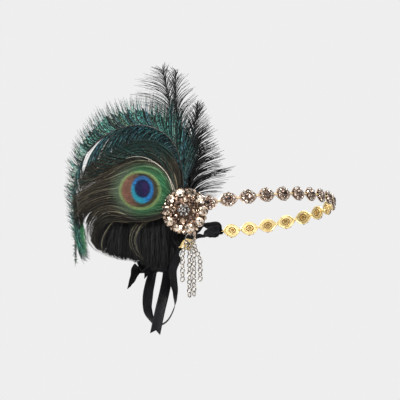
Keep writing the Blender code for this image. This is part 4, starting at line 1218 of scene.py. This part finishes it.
def teal_barbs(batch, rng, rows, table, count, width, lead, stray=0.3):
    """Toothed herls between the quill and the rows' tips; table gives colours by place along the quill."""
    stations = TEAL_STATIONS
    start, end = rows[0][0], min(rows[-1][0], 0.999)
    paths, places, stem = vane(
        TEAL_QUILL, rows, count, stations, rng, TEAL_LAYER, lead, 3.4, start, end, stray)
    dim = 1.0 - 0.75 * smooth_step(np.linspace(0, 1, stations), 0.72, 1.0)
    tints, widths = [], []
    for place in places:
        tone = 0.06 + 0.3 * rng.random() if rng.random() < 0.4 else 0.7 + 1.3 * rng.random()
        specks = np.array([
            0.12 if rng.random() < 0.45 else 0.7 + 1.8 * rng.random() for _ in range(stations)])
        hue = rng.random()
        green = (0.9, 1.0, 0.92) if hue < 0.6 else (0.7, 0.75, 1.05) if hue < 0.8 else (1.5, 0.9, 0.7)
        base = blend_rows(table, np.full(stations, place))
        tints.append(base * np.array(green) * (tone * specks * dim)[:, None])
        widths.append(taper(stations, width * (0.6 + 0.8 * rng.random()), 0.9, 0.2, 0.5))
    strips(batch, paths, widths, tints, layer_depth(TEAL_LAYER), rng, 1.0)
    return stem


def dress_teal_feather():
    rng = random.Random(23)
    batch = Batch()
    depth = layer_depth(TEAL_LAYER)
    outer, inner, inner_low = (tip_rows(TEAL_QUILL, TEAL_LAYER, tips) for tips in TEAL_TIPS)
    stem = teal_barbs(batch, rng, outer, TEAL_OUTER_COLOURS, 780, 0.85, 0.22, 0.22)
    teal_barbs(batch, rng, inner, TEAL_INNER_COLOURS, 560, 0.85, 0.35)
    teal_barbs(batch, rng, inner_low, TEAL_INNER_COLOURS, 300, 0.8, 0.7, 0.25)
    # Dark sheets behind the herls: painted shade
    shade(batch, TEAL_INNER_SHADE, TEAL_LAYER, 1.0, TEAL_SHADE_TINT, 0.35, 70, 8)
    shade(batch, TEAL_OUTER_SHADE, TEAL_LAYER, 0.97, TEAL_SHADE_TINT, 0.35, 130, 8)
    # Bright green strands and a few dark ones that hang from the feather's end
    paths = fan(TEAL_STRANDS, 16, TEAL_STATIONS, rng, TEAL_LAYER, 1.0, 0.4, 0.3)
    tints = [np.outer([0.15 + 1.3 * rng.random() for _ in path], (0.04, 0.25, 0.09)) for path in paths]
    widths = [taper(TEAL_STATIONS, 0.7, 0.9, 0.3, 0.4)] * len(paths)
    strips(batch, paths, widths, tints, depth + 0.6, rng, 0.7)
    paths = fan(TEAL_DROPS, 5, 14, rng, TEAL_LAYER, 0.4, 0.0, 0.1)
    strips(batch, paths, [taper(14, 0.35)] * len(paths), [(0.05, 0.05, 0.04)] * len(paths), depth, rng, 0.4)
    quill(batch, stem.at(np.linspace(0.0, 1.0, 120)), depth + 0.1, 0.6, 0.2, (0.02, 0.016, 0.012), 1)
    second = Curve(view_to_brooch(TEAL_SECOND_QUILL, TEAL_LAYER))
    quill(batch, second.at(np.linspace(0, 1, 30)), depth + 0.1, 0.2, 0.12, (0.06, 0.05, 0.04), 1)
    dress(batch.piece("teal_feather_herl", (TEAL_BARBS, QUILL)), "teal_herl", "teal_feather")


# The black feathers and the loose herls


# Each quill of a plume: its points, then for each side the barbs' roots and tips, their number and their lead
TALL_LEFT_QUILL = (
    (186, 205), (185, 180), (181, 155), (175, 132), (170, 112), (167, 95), (164, 80), (162, 68),
)
TALL_LEFT_SIDES = (
    ((((181, 155), (160, 128)), ((175, 132), (148, 108)), ((170, 112), (132.5, 94)),
      ((168.5, 103), (135, 87)),
      ((167, 95), (139, 80)), ((165.5, 87), (144, 75)), ((164, 80), (149, 70)), ((163, 74), (153, 67)),
      ((162, 68), (161, 66))), 84, 0.35),
    ((((185, 180), (196, 150)), ((181, 155), (190, 125)), ((175, 132), (183, 104)), ((170, 112), (176, 88)),
      ((167, 95), (172, 74)), ((164, 80), (168, 65)), ((162, 68), (164.5, 64))), 84, 0.4),
)
TALL_RIGHT_QUILL = (
    (187, 205), (186.5, 180), (184, 155), (180, 130), (176, 110), (174.5, 95), (174.5, 82), (175, 71),
)
TALL_RIGHT_SIDES = (
    ((((184, 155), (168, 130)), ((180, 130), (166, 108)), ((176, 110), (165, 90)), ((174.5, 95), (166, 76)),
      ((174.5, 82), (168, 68)), ((175, 71), (172, 67))), 68, 0.4),
    ((((186.5, 180), (209, 140)), ((184, 155), (206, 118)), ((180, 130), (198, 99)), ((176, 110), (191, 87)),
      ((174.5, 95), (185, 76)), ((174.5, 82), (179, 71)), ((175, 71), (175, 69))), 100, 0.4),
)
SIDE_QUILL = ((188, 207), (189.5, 190), (190, 172), (190, 155), (191.5, 138), (194, 120), (196.5, 105))
SIDE_SIDES = (
    ((((188.2, 203), (214, 197)), ((188.6, 199), (222, 187)), ((189.2, 193), (231, 168.5)),
      ((189.6, 187), (224, 170)), ((190, 178), (220, 157)), ((190, 168), (216, 147)),
      ((190, 155), (212, 134)),
      ((191, 142), (208, 121))), 190, 0.3),
    ((((191, 142), (208, 121)), ((193, 128), (204, 108)), ((195, 115), (200.5, 101)),
      ((196.5, 105), (197, 100))),
     34, 0.3),
    ((((188.2, 203), (173, 190)), ((188.6, 199), (172, 175)), ((190, 172), (176, 145)),
      ((190, 155), (178, 128))),
     110, 0.3),
    ((((190, 155), (178, 128)), ((191.5, 138), (183, 116)), ((194, 120), (189, 106)),
      ((196.5, 105), (194, 101))),
     30, 0.3),
)
TALL_PLUME = ((TALL_LEFT_QUILL, TALL_LEFT_SIDES), (TALL_RIGHT_QUILL, TALL_RIGHT_SIDES))
SIDE_PLUME = ((SIDE_QUILL, SIDE_SIDES),)
PAD_GUIDES = (
    ((104, 214), (98, 222), (93, 232), (89.5, 241)),
    ((108, 214), (103, 226), (98, 240), (95.5, 249.5)),
    ((114, 213), (110, 228), (106, 243), (104.5, 254)),
    ((122, 212), (119, 230), (117, 248), (117, 259.5)),
    ((134, 212), (132, 230), (131, 248), (131.5, 261.5)),
    ((148, 211), (147, 230), (146, 250), (146.5, 267)),
    ((160, 211), (160, 232), (160, 252), (159, 270)),
    ((168, 212), (168, 232), (168, 250), (167, 265)),
    ((174, 214), (175, 232), (175, 248), (174, 260)),
    ((181, 214), (182, 226), (182, 236), (180, 246)),
)
# Loose herls: tan ones and dark ones
TAN = (0.30, 0.27, 0.17)
DARK = (0.02, 0.018, 0.013)
LOOSE_CURLS = (
    (TAN, ((168, 210), (152, 214), (139, 220.5), (131.5, 230), (129.5, 240), (132, 250), (138, 257),
           (144, 262))),
    (TAN, ((168, 211), (154, 217), (143, 223.5), (136, 232), (133.5, 241), (136, 250), (141, 256.5),
           (147, 260))),
    (DARK, ((150, 214), (128, 214), (108, 215), (94, 221), (87, 230), (88.5, 241), (96, 250), (110, 257))),
    (DARK, ((140, 214), (118, 213), (101, 215), (90, 222), (85.5, 232), (88.0, 243), (98, 252.5),
            (118, 260.5))),
    (TAN, ((150, 213), (130, 216), (114, 222), (106, 232), (102, 243), (103, 252), (110, 257), (124, 261))),
)


def dress_plume(name, node_name, layer, seed, quills, width):
    """Black barbs on fine quills; each quill has its points, and rows of tips, number of barbs and lead."""
    rng = random.Random(seed)
    batch = Batch()
    depth = layer_depth(layer)
    stations = 16
    for points, sides in quills:
        for pairs, count, lead in sides:
            rows = tip_rows(points, layer, pairs)
            first, last = rows[0][0], rows[-1][0]
            paths, _, stem = vane(points, rows, count, stations, rng, layer, lead, 2.6, first, last, 0.35)
            widths = tapers(paths, rng, width, 1.0, 0.35, 0.25, 0.7, 0.6)
            tints = [BLACK_TINT * (0.4 + 2.4 * rng.random() ** 4) for _ in paths]
            strips(batch, paths, widths, tints, depth, rng, 1.0)
        quill(batch, stem.at(np.linspace(0.0, 0.985, 60)), depth - 0.3, 0.4, 0.1, (0.03, 0.03, 0.03))
    dress(batch.piece(name, (BLACK_BARBS,)), "black_plume", node_name)


def dress_black_plumes():
    dress_plume("tall_plume_barbs", "tall_plume", 2, 31, TALL_PLUME, 0.62)
    dress_plume("side_plume_barbs", "side_plume", 3, 37, SIDE_PLUME, 0.85)


def dress_pad():
    """Short black hackle that hangs down behind the knot."""
    layer = 2
    rng = random.Random(41)
    batch = Batch()
    paths = fan(PAD_GUIDES, 2300, 12, rng, layer, 1.2, 0.12, 0.14, 1.2, 0.05)
    tints = [BLACK_TINT * (0.3 + 4.5 * rng.random() ** 7) for _ in paths]
    strips(batch, paths, tapers(paths, rng, 0.6, 0.8, 0.3), tints, layer_depth(layer), rng, 0.9)
    # A dark sheet behind the hackle: painted shade
    shade(batch, PAD_GUIDES[2:], layer, 0.97, (0.004, 0.004, 0.005), 0.05)
    dress(batch.piece("feather_pad_hackle", (BLACK_BARBS,)), "black_plume", "feather_pad")


def dress_loose_herls():
    """Long herls of the eye feather: pale ones curl over the pad, and dark ones follow its lower edge."""
    layer = 1
    rng = random.Random(53)
    batch = Batch()
    for tone, points in LOOSE_CURLS:
        for _ in range(5):
            shift = np.array([(rng.random() - 0.5) * 3.0, (rng.random() - 0.5) * 2.4])
            loose = np.array(points, float) + shift
            loose += np.array([[rng.random() - 0.5, rng.random() - 0.5] for _ in points]) * 1.6
            path = Curve(view_to_brooch(loose, layer)).at(np.linspace(0, 0.75 + 0.25 * rng.random(), 40))
            tint = np.array(tone) * (0.2 + 1.3 * rng.random() ** 2)
            depth = layer_depth(layer) + 0.6
            strips(batch, [path], [taper(40, 0.22, 0.8, 0.3)], [tint], depth, rng, 0.5, behind=False)
    dress(batch.piece("loose_herls", (EYE_BARBS,)), "peacock_eye")


# Ribbons


# How far a ribbon's end is cut back, by the place across it from -1 to 1
CUTS = {
    "square": lambda s: 0.0,
    "swallow": lambda s: 4.2 * (1.0 - abs(s)),
    "slant": lambda s: 4.0 * (0.5 + 0.5 * s),
}


def knot_point(across, out, up):
    half = 0.5 * KNOT_SIZE
    return KNOT_CENTRE + Vector((across * half.x, out * half.y, up * half.z))


def end_ring_middle(place):
    tip = PLATE_LENGTH - EYELET_INSET
    return place @ Vector((0.5 * (tip + LINK_PITCH - RING_WIRE), 0.0, 0.0))


def strip_ribbon(node_name, route, cut="square"):
    """Satin along a route, whose rows are a point, a direction across and a share of the ribbon's width.
    It gathers into folds where it narrows."""
    points, sides = [Vector(row[0]) for row in route], [Vector(row[1]) for row in route]
    shares = [row[2] for row in route]
    spans = len(route) - 1
    steps = spans * RIBBON_FINE + 1
    rows, run, last = [], 0.0, None
    for n in range(steps):
        place = n / RIBBON_FINE
        middle = smooth_point(points, place)
        before = smooth_point(points, max(place - 0.05, 0.0))
        along = (smooth_point(points, min(place + 0.05, spans)) - before).normalized()
        k = min(int(place), spans - 1)
        t = place - k
        ease = t * t * (3.0 - 2.0 * t)
        side = sides[k].lerp(sides[k + 1], ease)
        side = (side - along * side.dot(along)).normalized()
        run += 0.0 if last is None else (middle - last).length
        last = middle
        rows.append((middle, along, side, shares[k] + (shares[k + 1] - shares[k]) * ease, run))
    length = run
    verts, grain = [], []
    for middle, along, side, share, run in rows:
        near_end = max(0.0, 1.0 - (length - run) / CUT_REACH)
        for c in range(RIBBON_COLUMNS):
            s = -1.0 + 2.0 * c / (RIBBON_COLUMNS - 1)
            fold = (1.0 - share) * FOLD_DEPTH * math.sin(s * TURN + run * 0.05)
            lift = fold + RIBBON_CUP * (s * s - 0.4)
            aside = 0.5 * RIBBON_WIDTH * share * s
            verts.append(middle + side * aside + along.cross(side) * lift - along * (CUTS[cut](s) * near_end))
            grain.append((run, s, 0.0))
    batch = Batch()
    batch.add(verts, sheet_faces(steps, RIBBON_COLUMNS), WHITE, grain)
    made = batch.piece(f"{node_name}_satin", (BLACK_SATIN,))
    solid = made.modifiers.new("thickness", "SOLIDIFY")
    solid.thickness = SATIN_THICK * MM
    solid.offset = 0.0
    bpy.context.view_layer.update()
    shaped = bpy.data.meshes.new_from_object(made.evaluated_get(bpy.context.evaluated_depsgraph_get()))
    made.modifiers.clear()
    made.data = shaped
    dress(made, "black_satin", node_name)


def dress_ribbons(joints):
    place = end_link_place()
    hold = end_ring_middle(place)
    rise = (place.to_3x3() @ Y_AXIS).normalized()
    top = knot_point(0.1, -0.1, 1.0) + Vector((0.0, 0.0, 2.0 * SEAT_GAP + 0.5))
    low = knot_point(-0.72, 0.0, -1.0) - Vector((0.0, 0.0, 2.0 * SEAT_GAP))
    inside = low + Vector((0.8, 0.0, 3.4))
    near = (
        (top, (1.0, 0.0, 0.0), 0.8),
        (top + Vector((3.0, -10.0, 8.0)), (0.6, 0.0, 0.8), 0.9),
        (top + Vector((11.5, -28.0, 14.0)), (0.1, 0.0, 1.0), 0.9),
        (hold + rise * 8.0 + Vector((-2.0, 5.0, 0.0)), (0.0, -0.6, 0.8), 0.8),
        (hold + rise * 4.6 + Vector((-0.6, 0.4, 0.0)), (0.0, -1.0, 0.2), 0.45),
        (hold, (0.0, -1.0, 0.0), GATHERED),
        (hold - rise * 4.8 + Vector((-0.8, 0.6, 0.0)), (0.3, -1.0, 0.0), 0.45),
        (hold - rise * 11.0 + Vector((-3.6, 4.0, 0.0)), (1.0, -0.4, 0.0), 0.75),
        ((-71.2, -78.0, -70.0), (1.0, -0.2, 0.0), 0.8),
        ((-70.4, -66.0, -80.0), (1.0, -0.8, 0.0), 0.8),
        ((-69.1, -55.0, -91.0), (0.4, -1.0, 0.0), 0.9),
        ((-70.2, -48.0, -103.0), (0.0, -1.0, 0.0), 1.0),
        ((-76.0, -43.5, -114.0), (0.0, -1.0, 0.0), 1.0),
        ((-83.5, -42.5, -118.6), (0.0, -1.0, 0.0), 1.0),
        ((-91.2, -42.5, -114.5), (0.4, -1.0, 0.2), 1.0),
        ((-96.2, -44.0, -103.5), (1.0, -0.6, 0.0), 1.0),
        ((-95.9, -45.0, -90.0), (1.0, -0.1, 0.0), 1.0),
        ((-94.0, -45.3, -79.0), (1.0, 0.0, 0.0), 0.95),
        (low, (1.0, 0.0, 0.0), 0.8),
        (inside, (1.0, 0.0, 0.0), 0.7),
    )
    strip_ribbon("near_ribbon", near)
    place = link_frame(joints[-2], joints[-1] - joints[-2], LOOP_UP)
    hold = end_ring_middle(place)
    rise = (place.to_3x3() @ Y_AXIS).normalized()
    back = knot_point(-0.2, 1.0, 0.0) + Vector((0.0, SEAT_GAP, 0.0))
    first = knot_point(-0.75, 1.0, 0.0) + Vector((0.0, SEAT_GAP, 0.0))
    far = (
        (back, (0.0, 0.0, 1.0), 0.8),
        ((-86.5, -22.0, -56.0), (0.0, 0.0, 1.0), 1.0),
        ((-83.0, 8.0, -47.0), (0.0, 0.0, 1.0), 1.0),
        ((-73.0, 36.0, -33.0), (0.0, 0.0, 1.0), 1.0),
        ((-57.5, 60.0, -15.6), (0.0, 0.2, 1.0), 0.8),
        ((-46.5, 68.0, -10.6), (0.0, 0.5, 0.8), 0.55),
        ((-41.0, 71.5, -10.2), (0.0, 0.6, 0.7), 0.4),
        ((-36.8, 73.0, -7.3), (0.0, 0.2, 1.0), 0.95),
        ((-31.0, 74.5, -4.6), (0.0, 0.0, 1.0), 1.3),
        ((-25.5, 75.0, -3.4), (0.0, 0.0, 1.0), 1.2),
        (hold - rise * 1.4 + Vector((-1.6, -0.3, 0.0)), (0.0, 0.6, 0.8), 0.5),
        (hold, (0.0, 1.0, 0.0), GATHERED),
        (hold + rise * 2.6 + Vector((-2.2, -0.5, 0.0)), (0.0, 0.5, -0.8), 0.55),
        ((-28.0, 75.5, 1.4), (0.0, 0.2, -0.95), 0.9),
        ((-36.5, 75.5, 1.9), (0.0, 0.3, -0.9), 0.65),
        ((-42.0, 75.0, 2.0), (0.0, 0.4, -0.9), 0.3),
        ((-48.0, 73.0, -3.4), (0.0, 0.2, -1.0), 0.6),
        ((-60.5, 65.5, -12.5), (0.0, 0.2, -1.0), 0.8),
        ((-78.0, 38.0, -31.0), (0.0, 0.0, -1.0), 1.0),
        ((-88.0, 10.0, -45.0), (0.0, 0.0, -1.0), 1.0),
        ((-92.0, -22.0, -55.0), (0.0, 0.0, -1.0), 1.0),
        (first, (0.0, 0.0, -1.0), 0.8),
    )
    strip_ribbon("far_ribbon", far)
    behind = 0.5 * KNOT_SIZE.y + SEAT_GAP + 0.5
    left_end = KNOT_CENTRE - Vector((0.5 * KNOT_SIZE.x + SEAT_GAP, 0.0, 0.0))
    tail = (
        (KNOT_CENTRE + Vector((7.6, behind, 7.6)), (1.0, 0.0, 0.0), 0.9),
        (KNOT_CENTRE + Vector((9.2, behind, -3.0)), (1.0, 0.0, 0.0), 1.0),
        ((-79.2, -43.0, -84.0), (1.0, 0.0, 0.0), 1.0),
        ((-84.2, -50.0, -107.0), (1.0, 0.0, 0.0), 1.0),
        ((-88.6, -54.0, -129.5), (1.0, 0.0, 0.0), 1.0),
    )
    strip_ribbon("main_tail", tail, "swallow")
    tail = (
        (left_end + Vector((2.0, 1.8, 0.4)), (0.0, 0.0, 1.0), 0.6),
        (left_end + Vector((-1.0, 2.2, 1.6)), (0.0, 0.0, 1.0), 0.9),
        (left_end + Vector((-5.0, 2.8, 3.2)), (0.3, 0.0, 1.0), 1.1),
        (left_end + Vector((-10.0, 3.0, 2.2)), (1.0, 0.0, 1.0), 1.1),
        ((-107.4, -41.5, -64.0), (1.0, 0.0, -0.2), 1.0),
        ((-110.6, -41.5, -72.5), (1.0, 0.0, -0.4), 0.6),
        ((-115.2, -41.5, -83.5), (1.0, 0.0, -0.4), 0.22),
    )
    strip_ribbon("pointed_tail", tail, "slant")
    tail = (
        (left_end + Vector((1.2, -1.6, 1.4)), (0.7, 0.0, -0.7), 0.4),
        (left_end + Vector((-1.8, -1.6, -1.2)), (0.7, 0.0, -0.7), 0.5),
        (left_end + Vector((-4.2, -1.6, -4.0)), (0.7, 0.0, -0.7), 0.8),
        (left_end + Vector((-8.4, -1.6, -8.6)), (0.7, 0.0, -0.7), 0.8),
    )
    strip_ribbon("notched_tail", tail, "swallow")


KNOT_PLACES = (-1.0, -0.92, -0.78, -0.62, -0.45, -0.3, -0.15, 0.0, 0.15, 0.3, 0.45, 0.62, 0.78, 0.92, 1.0)


def dress_knot():
    """Wraps of ribbon about the knot: gathered bands that cross its front and tucks at both ends."""
    half = 0.5 * KNOT_SIZE
    rings = []
    for place in KNOT_PLACES:
        share = 0.72 + 0.28 * math.sin(math.pi * min(1.0, (1.0 - abs(place)) / 0.5) * 0.5)
        share *= 1.0 - 0.09 * math.exp(-(place / 0.28) ** 2)
        ring = []
        for turn in turns(40):
            crease = 0.035 * math.sin(turn * 6.0 + place * 5.0)
            crease -= 0.03 * abs(math.sin(turn * 3.0 + place * 2.0))
            size = share * (1.0 + crease)
            ring.append(KNOT_CENTRE + Vector((
                half.x * place, half.y * size * math.cos(turn), half.z * size * math.sin(turn)
            )))
        rings.append(ring)
    batch = Batch()
    loft(batch, rings)
    dress(batch.piece("bow_knot_wraps", (BLACK_SATIN,)), "black_satin", "bow_knot")


# Stage, light and camera


def stage():
    """A pale round floor, and a world that the camera sees as plain grey and the pieces as a lit studio."""
    made, tree, shader = shader_of("pale_floor")
    drift = remap(tree, noise(tree, 3.0), 0.3, 0.7, 0.0, 1.0)
    colour = mix_colours(tree, drift, (0.60, 0.60, 0.60), (0.57, 0.57, 0.57))
    feed_all(tree, shader, Base_Color=colour, Roughness=0.8)
    batch = Batch()
    turned(batch, Vector((0.0, 0.0, -760.0)), Z_AXIS, X_AXIS, ((6000.0, -20.0), (6000.0, 0.0)), 96)
    batch.piece("pale_floor", (made,), False)

    world = bpy.data.worlds.new("studio")
    world.use_nodes = True
    bpy.context.scene.world = world
    tree = world.node_tree
    plain = tree.nodes["Background"]
    feed_all(tree, plain, Color=(0.855, 0.855, 0.855), Strength=1.0)
    # Bands of light from below to above, broken into soft panels
    split = node(tree, "ShaderNodeSeparateXYZ")
    feed(tree, split.inputs[0], node(tree, "ShaderNodeTexCoord").outputs["Generated"])
    ramp = node(tree, "ShaderNodeValToRGB")
    steps = ramp.color_ramp.elements
    steps[0].color = (0.10, 0.10, 0.10, 1.0)
    steps[1].color = (1.3, 1.3, 1.3, 1.0)
    for place, value in ((0.40, 0.10), (0.52, 0.35), (0.62, 0.20), (0.78, 0.85)):
        step = steps.new(place)
        step.color = (value, value, value, 1.0)
    feed(tree, ramp.inputs[0], remap(tree, split.outputs[2], -1.0, 1.0, 0.0, 1.0))
    panels = grey(tree, remap(tree, noise(tree, 3.4, 0.0, "Generated"), 0.45, 0.53, 0.06, 2.2))
    soft = node(tree, "ShaderNodeBackground")
    feed_all(tree, soft, Color=mix_colours(tree, 1.0, ramp.outputs[0], panels, "MULTIPLY"), Strength=0.9)
    choose = node(tree, "ShaderNodeMixShader")
    rays = node(tree, "ShaderNodeLightPath").outputs["Is Camera Ray"]
    for socket, value in zip(choose.inputs, (rays, soft.outputs[0], plain.outputs[0])):
        feed(tree, socket, value)
    feed(tree, tree.nodes["World Output"].inputs[0], choose.outputs[0])


def soft_light(name, place, size, power):
    data = bpy.data.lights.new(name, "AREA")
    data.shape = "DISK"
    data.size = size
    data.energy = power
    made = scene_object(name, data)
    made.location = place
    made.rotation_euler = (LIGHT_AIM - Vector(place)).to_track_quat("-Z", "Y").to_euler()


def camera():
    data = bpy.data.cameras.new("camera")
    data.lens = SENSOR_MM * VIEW_DISTANCE / FRAME_PIXELS
    data.sensor_width = SENSOR_MM
    data.clip_start = 0.05
    data.clip_end = 50.0
    made = scene_object("camera", data)
    forward = Vector((0.0, math.cos(VIEW_PITCH), math.sin(VIEW_PITCH)))
    upward = Vector((0.0, -math.sin(VIEW_PITCH), math.cos(VIEW_PITCH)))
    aside = FRAME_PIXELS * 0.5 - VIEW_CENTRE[0]
    lift = VIEW_CENTRE[1] - FRAME_PIXELS * 0.5
    made.location = (X_AXIS * aside + upward * lift - forward * VIEW_DISTANCE) * MM
    made.rotation_euler = (math.pi / 2.0 + VIEW_PITCH, 0.0, 0.0)
    bpy.context.scene.camera = made


def main():
    bpy.context.scene.view_settings.view_transform = "Standard"
    camera()
    stage()
    soft_light("key", (-0.9, -1.4, 1.3), 0.45, 26.0)
    soft_light("fill", (1.3, -1.5, 0.5), 0.5, 8.0)
    soft_light("rim", (0.4, 1.4, 1.2), 0.6, 6.0)
    soft_light("low", (0.3, -1.3, -0.5), 0.4, 2.0)
    joints = dress_band()
    dress_brooch(joints)
    dress_tassel()
    dress_eye_feather()
    dress_teal_feather()
    dress_black_plumes()
    dress_pad()
    dress_loose_herls()
    dress_ribbons(joints)
    dress_knot()


main()
